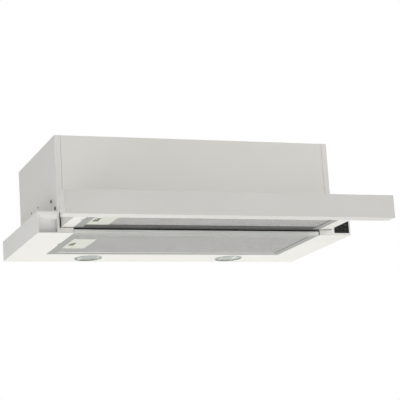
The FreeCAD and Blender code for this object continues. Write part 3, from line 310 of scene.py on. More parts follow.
paintLooks = {
    "white_enamel": {"dark": (0.77, 0.757, 0.715), "light": (0.80, 0.787, 0.745), "cloudScale": 6.0,
                     "roughness": (0.34, 0.42), "skinScale": 900.0, "skinStrength": 0.05},
    # The box's white enamel, darker for the front panel: painted shade
    "shaded_panel_enamel": {"dark": (0.65, 0.64, 0.605), "light": (0.69, 0.68, 0.645), "cloudScale": 6.0,
                     "roughness": (0.34, 0.42), "skinScale": 900.0, "skinStrength": 0.05},
    "white_plastic": {"dark": (0.845, 0.84, 0.815), "light": (0.87, 0.865, 0.84), "cloudScale": 20.0,
                      "roughness": (0.42, 0.52), "skinScale": 2600.0, "skinStrength": 0.10},
    "black_gloss": {"dark": (0.006, 0.005, 0.005), "light": (0.010, 0.009, 0.009), "cloudScale": 60.0,
                    "roughness": (0.16, 0.24), "skinScale": 300.0, "skinStrength": 0.02, "specular": 0.10},
    "button_grey": {"dark": (0.010, 0.009, 0.009), "light": (0.015, 0.014, 0.014), "cloudScale": 200.0,
                    "roughness": (0.34, 0.46), "skinScale": 3000.0, "skinStrength": 0.10, "specular": 0.12},
    "board_green": {"dark": (0.02, 0.13, 0.06), "light": (0.03, 0.20, 0.10), "cloudScale": 300.0,
                    "roughness": (0.30, 0.45), "skinScale": 1500.0, "skinStrength": 0.15},
    # Near-black steel: partly the screws' own dark finish, partly painted shade, so that screws and nuts in
    # the fixing holes read as their shade
    "dark_steel": {"dark": (0.07, 0.065, 0.06), "light": (0.14, 0.13, 0.12), "cloudScale": 500.0,
                   "roughness": (0.40, 0.60), "skinScale": 3000.0, "skinStrength": 0.15},
    "black_plastic": {"dark": (0.014, 0.014, 0.014), "light": (0.026, 0.026, 0.026), "cloudScale": 90.0,
                      "roughness": (0.38, 0.55), "skinScale": 2200.0, "skinStrength": 0.20},
    # Olive: the slides' ivory moulding darkened as painted shade of the finger pocket
    "latch_olive": {"dark": (0.38, 0.39, 0.32), "light": (0.44, 0.45, 0.37), "cloudScale": 200.0,
                    "roughness": (0.35, 0.5), "skinScale": 2500.0, "skinStrength": 0.10},
    "mark_grey": {"dark": (0.07, 0.07, 0.07), "light": (0.11, 0.11, 0.11), "cloudScale": 300.0,
                  "roughness": (0.5, 0.6), "skinScale": 2500.0, "skinStrength": 0.05},
    "lamp_bezel": {"dark": (0.34, 0.36, 0.33), "light": (0.42, 0.44, 0.41), "cloudScale": 120.0,
                   "roughness": (0.25, 0.40), "skinScale": 1500.0, "skinStrength": 0.08},
}
grainLooks = {
    "zinc_steel": {"dark": (0.52, 0.53, 0.55), "light": (0.70, 0.71, 0.73), "grainScale": 700.0,
                   "stretch": (1.0, 0.04, 1.0), "roughness": (0.28, 0.42), "metallic": 1.0,
                   "grainStrength": 0.15},
    "cage_steel": {"dark": (0.42, 0.43, 0.45), "light": (0.62, 0.63, 0.65), "grainScale": 900.0,
                   "stretch": (1.0, 0.2, 1.0), "roughness": (0.18, 0.34), "metallic": 1.0,
                   "grainStrength": 0.10},
    "edge_wire": {"dark": (0.90, 0.90, 0.89), "light": (0.95, 0.95, 0.94), "grainScale": 300.0,
                  "stretch": (1.0, 1.0, 1.0), "roughness": (0.30, 0.40), "metallic": 0.1,
                  "grainStrength": 0.10},
    "mesh_strand": {"dark": (0.60, 0.595, 0.58), "light": (0.84, 0.835, 0.82), "grainScale": 500.0,
                    "stretch": (1.0, 1.0, 1.0), "roughness": (0.30, 0.48), "metallic": 0.7,
                    "grainStrength": 0.20},
}
# Bar tones: a darker grey painted as shade on the lower faces and a near-black painted shade on the inner
# faces
barLook = {"dark": (0.87, 0.88, 0.845), "light": (0.92, 0.93, 0.895), "shadeDark": (0.28, 0.285, 0.265),
           "shadeLight": (0.34, 0.345, 0.325), "inner": (0.04, 0.04, 0.038), "grainScale": 1100.0,
           "drawn": 0.03, "roughness": (0.42, 0.58), "metallic": 0.2, "grainStrength": 0.05,
           "bar": 14.0 * mm, "endFrom": 221.0 * mm, "frontLitShare": 0.12, "shadeRise": (0.1 * mm, 0.6 * mm),
           "blur": 0.3 * mm, "edge": (0.05 * mm, 0.2 * mm), "corner": (0.6 * mm, 0.8 * mm)}
ribLook = {"pitch": 4.1 * mm, "depth": 0.5 * mm, "perRib": 6, "squareness": 1.6, "cloudScale": 300.0,
           "crestSpread": (-0.1, 1.0), "grainStrength": 0.10}
knitLook = {"dark": (0.02, 0.02, 0.02), "light": (0.72, 0.715, 0.70), "pitchX": 4.0 * mm, "pitchY": 10.0 * mm,
            "cloudScale": 160.0, "cloudShare": 0.15, "spread": (0.07, 0.18), "roughness": (0.40, 0.60),
            "metallic": 0.6, "strength": 0.6, "height": 0.6 * mm}
# The recess tones are painted light: a paler ceiling and darker sides
blankLook = {"dark": (0.845, 0.84, 0.815), "light": (0.87, 0.865, 0.84), "side": (0.55, 0.545, 0.52),
             "ceiling": (0.95, 0.945, 0.93), "face": (0.85, 0.845, 0.82), "depth": 8.5 * mm,
             "ceilingFrom": -12.7 * mm, "blur": 0.4 * mm, "cloudScale": 20.0, "roughness": (0.42, 0.52),
             "skinScale": 2600.0, "skinStrength": 0.10}
ivoryLook = {"dark": (0.60, 0.615, 0.54), "light": (0.64, 0.655, 0.58), "pocket": (0.40, 0.41, 0.33),
             "pocketFrom": 0.4 * mm, "pocketTo": 1.6 * mm, "cloudScale": 60.0, "roughness": (0.4, 0.5),
             "skinScale": 2500.0, "skinStrength": 0.08}
lensLook = {"dark": (0.16, 0.185, 0.155), "light": (0.60, 0.64, 0.58), "streakScale": 90.0,
            "stretch": (1.0, 0.12, 1.0), "spread": (0.40, 0.60), "roughness": (0.18, 0.34), "coat": 0.25,
            "coatRoughness": 0.12, "strength": 0.2, "height": 0.3 * mm}

finishes = {name: paintFinish(name, look) for name, look in paintLooks.items()}
finishes.update({name: grainFinish(name, look) for name, look in grainLooks.items()})
finishes["mesh_aluminium"] = knitFinish("mesh_aluminium", knitLook)
finishes["frosted_lens"] = lensFinish("frosted_lens", lensLook)

# Nodes whose finish isn't their slot's
ownFinish = {"front_panel": finishes["shaded_panel_enamel"], "panel_cap_left": finishes["white_enamel"],
             "panel_cap_right": finishes["white_enamel"],
             "blank_insert": blankFinish("blank_plastic", blankLook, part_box("blank_insert")[0].y)}
for kind in ("tray", "visor"):
    plate, bars = f"{kind}_latch_plate", f"{kind}_filter_frame"
    ownFinish[plate] = pocketFinish(f"{kind}_ivory", ivoryLook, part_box(plate)[0].z)
    ownFinish[bars] = barFinish(f"{kind}_bar_aluminium", barLook, *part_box(bars))


def finishFor(node):
    return ownFinish.get(node, finishes.get(slotOf[node]))


print("stage: finishes made,", len(finishes) + len(ownFinish))


# Every piece ends here: it gets its mesh, finish and body
def addPiece(name, mesh, finish, body):
    piece = bpy.data.objects.new(name, mesh)
    bpy.context.scene.collection.objects.link(piece)
    mesh.materials.clear()
    mesh.materials.append(finish)
    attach(piece, body)
    return piece


# A closed grid surface from an array of points (rings, points per ring, 3).
# Each ring joins to the next, and its last point joins to its first.
def ringMesh(name, points, closeEnds=True):
    rings, count = points.shape[:2]
    index = np.arange(rings * count).reshape(rings, count)
    here, beside = index[:-1], np.roll(index[:-1], -1, axis=1)
    above, aboveBeside = index[1:], np.roll(index[1:], -1, axis=1)
    faces = np.stack([here, beside, aboveBeside, above], axis=-1).reshape(-1, 4).tolist()
    if closeEnds:
        faces.append(index[0][::-1].tolist())
        faces.append(index[-1].tolist())
    mesh = bpy.data.meshes.new(name)
    mesh.from_pydata(points.reshape(-1, 3).tolist(), [], faces)
    mesh.update()
    return mesh


# Several meshes made one
def joinMeshes(name, parts):
    whole = bmesh.new()
    for part in parts:
        whole.from_mesh(part)
        bpy.data.meshes.remove(part)
    mesh = bpy.data.meshes.new(name)
    whole.to_mesh(mesh)
    whole.free()
    return mesh


# Doubles merged, faces turned outwards, and edges kept sharp past an angle in degrees
def outward(mesh, smoothAngle=35):
    shape = bmesh.new()
    shape.from_mesh(mesh)
    bmesh.ops.remove_doubles(shape, verts=shape.verts, dist=mergeDistance)
    bmesh.ops.recalc_face_normals(shape, faces=shape.faces)
    shape.to_mesh(mesh)
    shape.free()
    mesh.shade_smooth()
    mesh.set_sharp_from_angle(angle=math.radians(smoothAngle))
    return mesh


# Edge radius in millimetres for each piece that gets rounded edges
edgeRadius = {
    "tray_underside": 0.4, "seat_plate": 0.25, "end_cap_left": 0.5, "end_cap_right": 0.5,
    "blank_insert": 0.35, "control_housing": 0.35, "control_plate": 0.3,
    "box_side_left": 0.35, "box_side_right": 0.35, "box_front_panel": 0.3, "box_back_panel": 0.25,
    "box_top_panel": 0.25, "front_panel": 0.5, "panel_cap_left": 0.5, "panel_cap_right": 0.5,
    "visor_channel_left": 0.3, "visor_channel_right": 0.3, "visor_front_bar": 0.3, "visor_roof": 0.25,
    "tray_filter_frame": 0.5, "visor_filter_frame": 0.5,
    "lamp_housing_left": 0.25, "lamp_housing_right": 0.25,
    "tray_latch_plate": 0.4, "visor_latch_plate": 0.4, "tray_latch_slide": 0.4, "visor_latch_slide": 0.4,
    "light_button": 0.35, "low_speed_button": 0.35, "middle_speed_button": 0.35, "high_speed_button": 0.35,
    "duct_collar": 0.5, "terminal_box": 0.6, "runner_fixed_left": 0.3, "runner_fixed_right": 0.3,
    "runner_moving_left": 0.3, "runner_moving_right": 0.3,
}
# Angles in degrees: faces closer than flat are one, and edges past sharp are rounded
edgeLimits = {"flat": 0.5, "sharp": 32, "segments": 2, "merge": 2 * mergeDistance, "normalWeight": 90}


# A CAD piece with rounded edges: the same faces, merged, and a small bevel on every sharp edge.
# Its normals follow the largest face at each corner, so that flat faces stay flat.
def soften(node, width):
    mesh = frame["nodes"][node].data.copy()
    shape = bmesh.new()
    shape.from_mesh(mesh)
    bmesh.ops.remove_doubles(shape, verts=shape.verts, dist=edgeLimits["merge"])
    bmesh.ops.dissolve_limit(shape, angle_limit=math.radians(edgeLimits["flat"]), verts=shape.verts,
                             edges=shape.edges)
    shape.to_mesh(mesh)
    shape.free()
    mesh.shade_smooth()
    piece = addPiece(node + "_edged", mesh, finishFor(node), bodyOf[node])
    bevel = piece.modifiers.new("edges", "BEVEL")
    bevel.width = width
    bevel.segments = edgeLimits["segments"]
    bevel.limit_method = "ANGLE"
    bevel.angle_limit = math.radians(edgeLimits["sharp"])
    flatten = piece.modifiers.new("flat faces", "WEIGHTED_NORMAL")
    flatten.mode = "FACE_AREA"
    flatten.weight = edgeLimits["normalWeight"]
    flatten.keep_sharp = False
    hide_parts(node)


for node, shown in frame["nodes"].items():
    shown.data.materials.clear()
    shown.data.materials.append(finishFor(node))
for node, radius in edgeRadius.items():
    soften(node, radius * mm)
print("stage: edges rounded,", len(edgeRadius))

strandLook = {"pitch": 4.0 * mm, "slope": 1.2, "width": 0.55 * mm, "thick": 0.34 * mm, "swing": 0.16 * mm,
              "margin": 1.0 * mm, "plateGap": 0.5 * mm}


# Strands of a filter: two families of thin bars that slant to either side and pass over and under each other.
# x = start + lean * y / slope, and the height is a cosine that swaps sign at each crossing.
def makeStrands(name, node, plate, body):
    low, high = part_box(node)
    plateLow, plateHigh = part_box(plate)
    pitch, slope, margin, gap = (strandLook[key] for key in ("pitch", "slope", "margin", "plateGap"))
    step = pitch * slope / 2
    rows = int((high.y - low.y - 2 * margin) / step)
    y = low.y + margin + np.arange(rows + 1) * step
    reach = (y[-1] - y[0]) / slope
    starts = np.arange(low.x - reach, high.x + reach, pitch)
    vertices, faces, used = [], [], 0
    middle = low.z - strandLook["thick"] / 2 - strandLook["swing"]
    for lean in (1, -1):
        x = starts[:, None] + lean * (y - y[0])[None, :] / slope
        sign = np.cos(np.pi * (np.arange(len(starts))[:, None] + np.arange(rows + 1)[None, :]))
        z = middle + lean * strandLook["swing"] * sign
        side = strandLook["width"] / 2 * np.array([-1, 1, 1, -1])
        rise = strandLook["thick"] / 2 * np.array([-1, -1, 1, 1])
        points = np.stack([x[..., None] + side, np.broadcast_to(y[None, :, None], x.shape + (4,)),
                           z[..., None] + rise], axis=-1)
        inside = (x > low.x + margin) & (x < high.x - margin)
        overPlate = ((x > plateLow.x - gap) & (x < plateHigh.x + gap)
                     & (y > plateLow.y - gap) & (y < plateHigh.y + gap))
        inside &= ~overPlate
        segment = inside[:, :-1] & inside[:, 1:]
        index = used + np.arange(points.size // 3).reshape(points.shape[:-1])
        here, after = index[:, :-1][segment], index[:, 1:][segment]
        turned = [1, 2, 3, 0]
        faces.append(np.stack([here, here[:, turned], after[:, turned], after], axis=-1).reshape(-1, 4))
        padded = np.pad(segment, ((0, 0), (1, 1)))
        begins, ends = segment & ~padded[:, :-2], segment & ~padded[:, 2:]
        faces.append(index[:, :-1][begins][:, ::-1])
        faces.append(index[:, 1:][ends])
        vertices.append(points.reshape(-1, 3))
        used += points.size // 3
    vertices, faces = np.concatenate(vertices), np.concatenate(faces)
    kept, renumbered = np.unique(faces, return_inverse=True)
    mesh = bpy.data.meshes.new(name)
    mesh.from_pydata(vertices[kept].tolist(), [], renumbered.reshape(-1, 4).tolist())
    mesh.update()
    mesh.flip_normals()
    addPiece(name, mesh, finishes["mesh_strand"], body)


makeStrands("tray_filter_strands", "tray_filter_mesh", "tray_latch_plate", "tray_filter")
makeStrands("visor_filter_strands", "visor_filter_mesh", "visor_latch_plate", "visor_filter")
print("stage: strands laid")


# A ribbed strip across the hood: a profile of (y, z) points carried along x.
# Its points marked 1 rise and fall with a rounded square wave of x, so the ribs run front to back.
def ribbedStrip(name, xs, profile, ribbed, finish, body):
    count = int(round((xs[1] - xs[0]) / ribLook["pitch"])) * ribLook["perRib"]
    x = np.linspace(xs[0], xs[1], count + 1)
    wave = np.clip(ribLook["squareness"] * np.cos(2 * np.pi * (x - xs[0]) / ribLook["pitch"]), -1, 1)
    wave[0] = wave[-1] = -1
    rise = ribLook["depth"] * (1 - wave) / 2
    profile = np.array(profile)
    points = np.stack([np.broadcast_to(x[:, None], (len(x), len(profile))),
                       np.broadcast_to(profile[:, 0], (len(x), len(profile))),
                       profile[None, :, 1] + rise[:, None] * np.array(ribbed)[None, :]], axis=-1)
    return addPiece(name, outward(ringMesh(name, points), smoothAngle=50), finish, body)


shadeStripLook = {"front": -157.0 * mm, "thick": 0.7 * mm, "lowest": -28.55 * mm, "ribsShort": 4,
              "rearGap": 0.4 * mm, "chamferRise": 0.3 * mm, "frontChamfer": 1.2 * mm, "rearChamfer": 1.5 * mm,
              "groove": (0.02, 0.02, 0.02), "crestHighlight": (0.085, 0.085, 0.08), "roughness": (0.42, 0.58)}
# The rear bar's near-black grooves and pale crests are painted shade and painted highlight
rearLook = {"wall": 2.0 * mm, "chamferRise": 0.6 * mm, "chamfer": 0.8 * mm, "groove": (0.05, 0.05, 0.048),
            "crestHighlight": (0.40, 0.40, 0.38), "roughness": (0.40, 0.55)}


# Black strip along the rear bar of the visor filter, put there as painted shade where the visor mesh lies in
# shadow: a flat profile with both lower edges chamfered
def makeShadeStrip():
    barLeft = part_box("visor_rear_bar")[0].x
    left = barLeft + shadeStripLook["ribsShort"] * ribLook["pitch"]
    front, back = shadeStripLook["front"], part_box("visor_filter_frame")[1].y - shadeStripLook["rearGap"]
    low, edge = shadeStripLook["lowest"], shadeStripLook["lowest"] + shadeStripLook["chamferRise"]
    high = low + shadeStripLook["thick"]
    profile = [(front, edge), (front + shadeStripLook["frontChamfer"], low),
               (back - shadeStripLook["rearChamfer"], low), (back, edge), (back, high), (front, high)]
    ribbedStrip("visor_filter_shade_strip", (left, -left), profile, [1, 1, 1, 1, 0, 0],
                ribFinish("shade_strip_black", shadeStripLook, barLeft), "visor_filter")


# Rear bar of the visor, an upward channel with both lower edges chamfered, ribbed below; its black is painted
# shade, with a painted highlight on its crests
def makeRearBar():
    low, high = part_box("visor_rear_bar")
    wall, rise, chamfer = rearLook["wall"], rearLook["chamferRise"], rearLook["chamfer"]
    near, far, foot, top = low.y, high.y, low.z, high.z
    profile = [(near, foot + rise), (near + chamfer, foot), (far - chamfer, foot), (far, foot + rise),
               (far, top), (far - wall, top), (far - wall, foot + wall), (near + wall, foot + wall),
               (near + wall, top), (near, top)]
    piece = ribbedStrip("visor_rear_bar_ribbed", (low.x, high.x), profile, [0, 1, 1, 0, 0, 0, 0, 0, 0, 0],
                        ribFinish("rear_bar_painted_shade", rearLook, low.x), "visor")
    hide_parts("visor_rear_bar")


makeShadeStrip()
makeRearBar()

edgeLook = {"pitch": 4.2 * mm, "radius": 0.75 * mm, "swing": 0.175 * mm, "perLoop": 8, "sides": 8,
            "ends": 4.0 * mm, "fromRear": 5.0 * mm, "sunk": 0.3 * mm, "thinnest": 0.4}


# Folded edge of the knitted filling behind the latch: a round wire along x.
# Its height and its thickness follow the cosine of x.
def makeEdgeWire():
    low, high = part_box("tray_filter_mesh")
    x = np.arange(low.x + edgeLook["ends"], high.x - edgeLook["ends"], edgeLook["pitch"] / edgeLook["perLoop"])
    angle = np.linspace(0, 2 * np.pi, edgeLook["sides"], endpoint=False)
    wave = np.cos(2 * np.pi * (x - x[0]) / edgeLook["pitch"])[:, None]
    thick = edgeLook["radius"] * (1 + edgeLook["thinnest"] + (1 - edgeLook["thinnest"]) * wave) / 2
    middle = low.z - edgeLook["radius"] + edgeLook["sunk"]
    points = np.stack([np.broadcast_to(x[:, None], (len(x), len(angle))),
                       high.y - edgeLook["fromRear"] + thick * np.cos(angle),
                       middle + edgeLook["swing"] * wave + thick * np.sin(angle)], axis=-1)
    mesh = outward(ringMesh("tray_filter_edge", points), smoothAngle=80)
    addPiece("tray_filter_edge", mesh, finishes["edge_wire"], "tray_filter")


makeEdgeWire()

gapShadeBrushLook = {"thick": 2.2 * mm, "front": 1.2 * mm, "deep": 9.0 * mm, "bristle": 0.6 * mm, "low": -27.0 * mm,
             "high": -1.6 * mm, "steps": 170, "tipSwing": 0.25 * mm, "frontSwing": 0.3 * mm,
             "frontTurns": 4400.0}


# Black brush in the slot between a wing and the visor, put there as painted shade so the slot reads dark: an
# upright bar whose free edges go in and out with a sine of the height
def makeGapShadeBrush(side, sign):
    wallLow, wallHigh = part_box(f"wing_wall_{side}")
    z = np.linspace(gapShadeBrushLook["low"], gapShadeBrushLook["high"], gapShadeBrushLook["steps"])
    root = np.full_like(z, min(abs(wallLow.x), abs(wallHigh.x)))
    tip = root - gapShadeBrushLook["thick"] + gapShadeBrushLook["tipSwing"] * np.sin(2 * np.pi * z / gapShadeBrushLook["bristle"])
    near = np.full_like(z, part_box("tray_underside")[0].y + gapShadeBrushLook["front"])
    frayed = near + gapShadeBrushLook["frontSwing"] * (1 + np.sin(gapShadeBrushLook["frontTurns"] * z))
    far = near + gapShadeBrushLook["deep"]
    corners = ((root, near), (tip, frayed), (tip, far), (root, far))
    points = np.stack([np.stack([x * sign, y, z], axis=-1) for x, y in corners], axis=1)
    mesh = outward(ringMesh(f"bay_shade_brush_{side}", points))
    addPiece(f"bay_shade_brush_{side}", mesh, finishes["black_plastic"], "hood_body")


makeGapShadeBrush("left", -1)
makeGapShadeBrush("right", 1)

lensShape = {"ribs": 15, "depth": 0.25 * mm, "rings": 40, "points": 120, "rim": 1.5 * mm, "lift": 0.05 * mm}


# Lamp lens: a disc whose lower face carries straight ribs, height = depth * cosine across x, flat at its rim
def makeLens(side):
    node = f"lamp_lens_{side}"
    low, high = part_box(node)
    centre, radius = (low + high) / 2, (high.x - low.x) / 2
    reach = np.linspace(0, radius, lensShape["rings"])
    angle = np.linspace(0, 2 * np.pi, lensShape["points"], endpoint=False)
    x = reach[:, None] * np.cos(angle)[None, :]
    y = reach[:, None] * np.sin(angle)[None, :]
    fade = np.clip((radius - reach) / lensShape["rim"], 0, 1)[:, None]
    ribs = lensShape["depth"] * (1 + np.cos(x / radius * np.pi * lensShape["ribs"])) / 2 * fade
    lower = np.stack([x, y, low.z - centre.z + lensShape["lift"] + ribs], axis=-1)
    upper = np.stack([x, y, np.full_like(x, high.z - centre.z)], axis=-1)[::-1]
    points = np.concatenate([lower, upper]) + np.array(centre)
    mesh = outward(ringMesh(f"{node}_ribbed", points, closeEnds=False))
    piece = addPiece(f"{node}_ribbed", mesh, finishes["frosted_lens"], "hood_body")
    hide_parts(node)


makeLens("left")
makeLens("right")

screwLook = {"headRadius": 3.2 * mm, "headHigh": 1.6 * mm, "shankRadius": 2.0 * mm, "shankLong": 7.0 * mm,
             "rimShare": 0.55, "points": 48, "rings": 14, "arm": 0.45 * mm, "recess": 0.9 * mm,
             "recessReach": 0.62, "recessFade": 0.12, "upperSeat": (-97.2 * mm, 26.0 * mm),
             "motorSeat": (-50.0 * mm, 23.0 * mm, 60.0 * mm), "motorRing": 24.0 * mm}


# Screw along z: the head's height is a half ellipse of the radius on a rim, less a cross recess
# that is deepest where x or y is zero, and the shank goes straight down
def screwPoints():
    radius, rings = screwLook["headRadius"], screwLook["rings"]
    angle = np.linspace(0, 2 * np.pi, screwLook["points"], endpoint=False)
    shank = screwLook["shankRadius"]
    reach = np.concatenate([np.linspace(0, radius, rings), [radius, shank, shank, 0]])
    share = np.clip(reach / radius, 0, 1)
    rim = screwLook["rimShare"]
    height = screwLook["headHigh"] * (rim + (1 - rim) * np.sqrt(np.clip(1 - share ** 2, 0, 1)))
    height[rings:] = [0, 0, -screwLook["shankLong"], -screwLook["shankLong"]]
    x = reach[:, None] * np.cos(angle)[None, :]
    y = reach[:, None] * np.sin(angle)[None, :]
    arms = np.maximum(1 - np.minimum(np.abs(x), np.abs(y)) / screwLook["arm"], 0) ** 0.5
    near = np.clip((screwLook["recessReach"] - share) / screwLook["recessFade"], 0, 1)
    near[rings:] = 0
    return np.stack([x, y, height[:, None] - screwLook["recess"] * arms * near[:, None]], axis=-1)


# The six case screws: two in each side panel, which face outwards, and two in the motor's ring
def makeCaseScrews():
    low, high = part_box("case_screws")
    local = screwPoints()
    wall = high.x - screwLook["headHigh"]
    lowerSeat = (low.y + screwLook["headRadius"], low.z + screwLook["headRadius"])
    seats = [(side * wall, y, z, side) for side in (-1, 1) for y, z in (lowerSeat, screwLook["upperSeat"])]
    motorX, motorY, motorZ = screwLook["motorSeat"]
    seats += [(motorX, motorY + sign * screwLook["motorRing"], motorZ, 1) for sign in (1, -1)]
    parts = [ringMesh("screw", np.stack([side * local[..., 2] + x, side * local[..., 0] + y,
                                         local[..., 1] + z], axis=-1), closeEnds=False)
             for x, y, z, side in seats]
    mesh = outward(joinMeshes("case_screws_cross", parts))
    # Near-black: partly the screws' own finish, partly painted shade of the fixing holes
    piece = addPiece("case_screws_cross", mesh, finishes["dark_steel"], "hood_body")
    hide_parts("case_screws")


makeCaseScrews()

# Profile: radius and height above the plate's face, in millimetres
rivetLook = {"points": 32, "fromRight": 1.9 * mm, "fromFront": 1.9 * mm, "pocketRight": 15.0 * mm,
             "pocketFront": 10.0 * mm,
             "profile": [(0.0, 0.3), (0.8, 0.35), (1.3, 0.7), (1.4, 1.2), (1.4, 4.4), (0.0, 4.4)]}


# Rivet in the front right corner of each finger pocket: a profile turned about z
def makeRivets():
    angle = np.linspace(0, 2 * np.pi, rivetLook["points"], endpoint=False)
    profile = np.array(rivetLook["profile"]) * mm
    for kind in ("tray", "visor"):
        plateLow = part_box(f"{kind}_latch_plate")[0]
        slideLow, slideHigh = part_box(f"{kind}_latch_slide")
        x = plateLow.x + rivetLook["pocketRight"] - rivetLook["fromRight"]
        y = (slideLow.y + slideHigh.y) / 2 - rivetLook["pocketFront"] + rivetLook["fromFront"]
        points = np.stack([x + profile[:, :1] * np.cos(angle), y + profile[:, :1] * np.sin(angle),
                           plateLow.z + np.broadcast_to(profile[:, 1:], (len(profile), len(angle)))], axis=-1)
        mesh = outward(ringMesh(f"{kind}_latch_rivet", points, closeEnds=False), smoothAngle=50)
        addPiece(f"{kind}_latch_rivet", mesh, finishes["black_plastic"], f"{kind}_filter")


makeRivets()

# Profile: radius and depth behind the sheet, in millimetres
nutLook = {"points": 40, "holes": ((-2.5 * mm, 36.2 * mm), (47.5 * mm, 36.2 * mm)), "sheet": 1.0 * mm,
           "profile": [(1.7, -0.95), (2.35, -0.95), (2.35, 0.1), (5.2, 0.1), (5.6, 0.3), (5.6, 0.9),
                       (5.2, 1.1), (3.0, 1.1), (2.6, 3.0), (1.7, 3.0), (1.7, -0.95)]}


# Spring nuts behind the fixing holes of the side panels, dark so that the holes read as shaded (painted
# shade): a closed profile turned about x
def makeHoleShadeNuts():
    angle = np.linspace(0, 2 * np.pi, nutLook["points"], endpoint=False)
    profile = np.array(nutLook["profile"]) * mm
    inner = abs(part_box("box_side_left")[0].x) - nutLook["sheet"] - profile[:, 1:]
    for side, sign in (("left", -1), ("right", 1)):
        x = np.broadcast_to(sign * inner, (len(profile), len(angle)))
        parts = [ringMesh("nut", np.stack([x, y + profile[:, :1] * np.cos(angle),
                                           z + profile[:, :1] * np.sin(angle)], axis=-1), closeEnds=False)
                 for y, z in nutLook["holes"]]
        mesh = outward(joinMeshes(f"hole_shade_nuts_{side}", parts))
        addPiece(f"hole_shade_nuts_{side}", mesh, finishes["dark_steel"], "hood_body")


makeHoleShadeNuts()

# Profile: share of the radius, height above the lowest point in millimetres, share of the fluting
glandLook = {"points": 96, "flutes": 12, "flute": 0.05, "profile": [
    (0.42, 0.0, 0), (0.667, 0.0, 0), (0.667, 7.0, 0), (0.97, 7.0, 0), (1.0, 7.4, 0.4), (1.0, 8.0, 1),
    (1.0, 13.0, 1), (0.98, 13.8, 0.5), (0.94, 14.2, 0), (0.88, 16.0, 0), (0.84, 19.0, 0), (0.79, 20.4, 0),
    (0.66, 21.0, 0), (0.48, 21.0, 0), (0.4167, 20.4, 0), (0.42, 0.0, 0)]}


# Cable gland: a closed profile turned about z, radius = profile * (1 - flute * cosine of the angle)
def makeGland():
    low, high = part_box("cable_gland")
    centre, radius = (low + high) / 2, (high.x - low.x) / 2
    profile = np.array(glandLook["profile"])
    angle = np.linspace(0, 2 * np.pi, glandLook["points"], endpoint=False)
    wave = glandLook["flute"] * (0.5 + 0.5 * np.cos(glandLook["flutes"] * angle))
    reach = radius * profile[:, :1] * (1 - profile[:, 2:] * wave[None, :])
    points = np.stack([centre.x + reach * np.cos(angle), centre.y + reach * np.sin(angle),
                       low.z + mm * np.broadcast_to(profile[:, 1:2], reach.shape)], axis=-1)
    mesh = outward(ringMesh("cable_gland_fluted", points, closeEnds=False))
    piece = addPiece("cable_gland_fluted", mesh, finishes["black_plastic"], "hood_body")
    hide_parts("cable_gland")


makeGland()

markLook = {"width": 0.7 * mm, "height": 2.0 * mm, "gap": 1.3 * mm, "proud": 0.06 * mm, "sunk": 0.3 * mm,
            "dotRadius": 0.8 * mm, "dotPoints": 20,
            "bars": {"light_button": 0, "low_speed_button": 1, "middle_speed_button": 2,
                     "high_speed_button": 3}}


# Marks on the push buttons: a dot for the light, and one to three bars for the speeds.
# Each is its outline, a circle or a rectangle across x and z, carried a short way along y.
def makeMarks():
    angle = np.linspace(0, 2 * np.pi, markLook["dotPoints"], endpoint=False)
    dot = np.stack([np.cos(angle), np.sin(angle)], axis=-1) * markLook["dotRadius"]
    bar = np.array([[-1, -1], [1, -1], [1, 1], [-1, 1]]) / 2 * (markLook["width"], markLook["height"])
    for node, count in markLook["bars"].items():
        low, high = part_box(node)
        outline = bar if count else dot
        offsets = (np.arange(count) - (count - 1) / 2) * markLook["gap"] if count else [0.0]
        x, z = outline[:, 0] + (low.x + high.x) / 2, outline[:, 1] + (low.z + high.z) / 2
        parts = [ringMesh("mark", np.stack([np.stack([x + offset, np.full_like(x, y), z], axis=-1)
                                            for y in (low.y - markLook["proud"], low.y + markLook["sunk"])]))
                 for offset in offsets]
        mesh = outward(joinMeshes(node + "_mark", parts))
        addPiece(node + "_mark", mesh, finishes["mark_grey"], bodyOf[node])


makeMarks()
print("stage: small pieces made")

cameraLook = {"place": (-0.8947, -2.4667, -0.5224), "turn": (-0.2249, -0.3589, -0.0244), "lens": 127.25,
              "sensor": 36.0, "farthest": 50.0}


# Camera: where the photo was taken from, looking up at the hood from the front left.
# The turn is an angle times an axis; its rows are right, down and forward once y and z are swapped.
def makeCamera():
    turn = Vector(cameraLook["turn"])
    look = Matrix.Rotation(turn.length, 3, turn.normalized()) @ Matrix(((1, 0, 0), (0, 0, -1), (0, 1, 0)))
    data = bpy.data.cameras.new("photoCamera")
    data.lens = cameraLook["lens"]
    data.sensor_width = cameraLook["sensor"]
    data.clip_end = cameraLook["farthest"]
    camera = bpy.data.objects.new("photoCamera", data)
    bpy.context.scene.collection.objects.link(camera)
    axes = Matrix((look[0], -look[1], -look[2])).transposed()
    camera.matrix_world = Matrix.Translation(cameraLook["place"]) @ axes.to_4x4()
    bpy.context.scene.camera = camera


makeCamera()

studioLook = {"ambient": 0.38, "floorDown": 0.75, "floorHalf": 12.0, "floorColour": (0.86, 0.86, 0.85),
              "floorRoughness": 0.9, "fade": (1.0, 2.6)}
lampLooks = {
    "above": {"place": (0.6, 1.4, 2.6), "aim": (0.1, 0.1, 0.0), "size": 3.0, "power": 72.0},
    "below": {"place": (0.20, 0.30, -0.74), "aim": (0.20, 0.30, 0.0), "size": 1.3, "power": 3.0},
    "left": {"place": (-0.80, -0.40, -0.72), "aim": (-0.40, -0.10, 0.0), "size": 0.9, "power": 5.4},
    "low": {"place": (0.20, -1.7, -0.70), "aim": (0.0, -0.15, 0.0), "size": 1.0, "power": 3.8},
    "front": {"place": (1.8, -3.4, 1.0), "aim": (0.0, -0.1, 0.05), "size": 2.6, "power": 37.0},
}


def makeLamps():
    for name, look in lampLooks.items():
        data = bpy.data.lights.new(name, "AREA")
        data.shape = "DISK"
        data.size = look["size"]
        data.energy = look["power"]
        lamp = bpy.data.objects.new(name, data)
        bpy.context.scene.collection.objects.link(lamp)
        lamp.location = look["place"]
        toward = Vector(look["aim"]) - Vector(look["place"])
        lamp.rotation_euler = toward.to_track_quat("-Z", "Y").to_euler()
        lamp.visible_camera = False


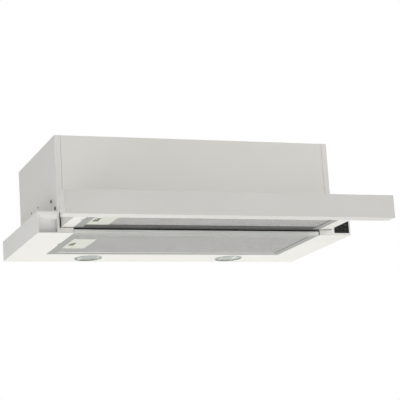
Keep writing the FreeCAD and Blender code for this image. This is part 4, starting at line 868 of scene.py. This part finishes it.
# Pale floor: clear from below, and it fades out with the distance from its centre
def makeFloor():
    mesh = bpy.data.meshes.new("floor")
    half, down = studioLook["floorHalf"], -studioLook["floorDown"]
    corners = [(-half, -half, down), (half, -half, down), (half, half, down), (-half, half, down)]
    mesh.from_pydata(corners, [], [(0, 1, 2, 3)])
    floor = bpy.data.objects.new("floor", mesh)
    bpy.context.scene.collection.objects.link(floor)
    material, tree, shader, point = newFinish("floorPaint")
    shader.inputs["Base Color"].default_value = (*studioLook["floorColour"], 1)
    shader.inputs["Roughness"].default_value = studioLook["floorRoughness"]
    clear = tree.nodes.new("ShaderNodeBsdfTransparent")
    mix = tree.nodes.new("ShaderNodeMixShader")
    away = tree.nodes.new("ShaderNodeVectorMath")
    away.operation = "LENGTH"
    tree.links.new(point, away.inputs[0])
    fade = ramp(tree, away.outputs["Value"], *studioLook["fade"])
    under = tree.nodes.new("ShaderNodeNewGeometry").outputs["Backfacing"]
    tree.links.new(mathNode(tree, "MAXIMUM", fade, under), mix.inputs[0])
    tree.links.new(shader.outputs[0], mix.inputs[1])
    tree.links.new(clear.outputs[0], mix.inputs[2])
    tree.links.new(mix.outputs[0], tree.nodes["Material Output"].inputs["Surface"])
    mesh.materials.append(material)


# World: white for what the camera, a reflection or glass sees, and soft light for the rest
def makeWorld():
    world = bpy.data.worlds.new("studio")
    bpy.context.scene.world = world
    world.use_nodes = True
    tree = world.node_tree
    background = tree.nodes["Background"]
    background.inputs["Color"].default_value = (1, 1, 1, 1)
    path = tree.nodes.new("ShaderNodeLightPath")
    seen = mathNode(tree, "ADD", path.outputs["Is Camera Ray"], path.outputs["Is Glossy Ray"])
    seen = mathNode(tree, "MINIMUM", mathNode(tree, "ADD", seen, path.outputs["Is Transmission Ray"]), 1.0)
    tree.links.new(ramp(tree, seen, 0.0, 1.0, studioLook["ambient"], 1.0), background.inputs["Strength"])


makeLamps()
makeFloor()
makeWorld()
bpy.context.scene.view_settings.view_transform = "Standard"
print("stage: camera and studio set")
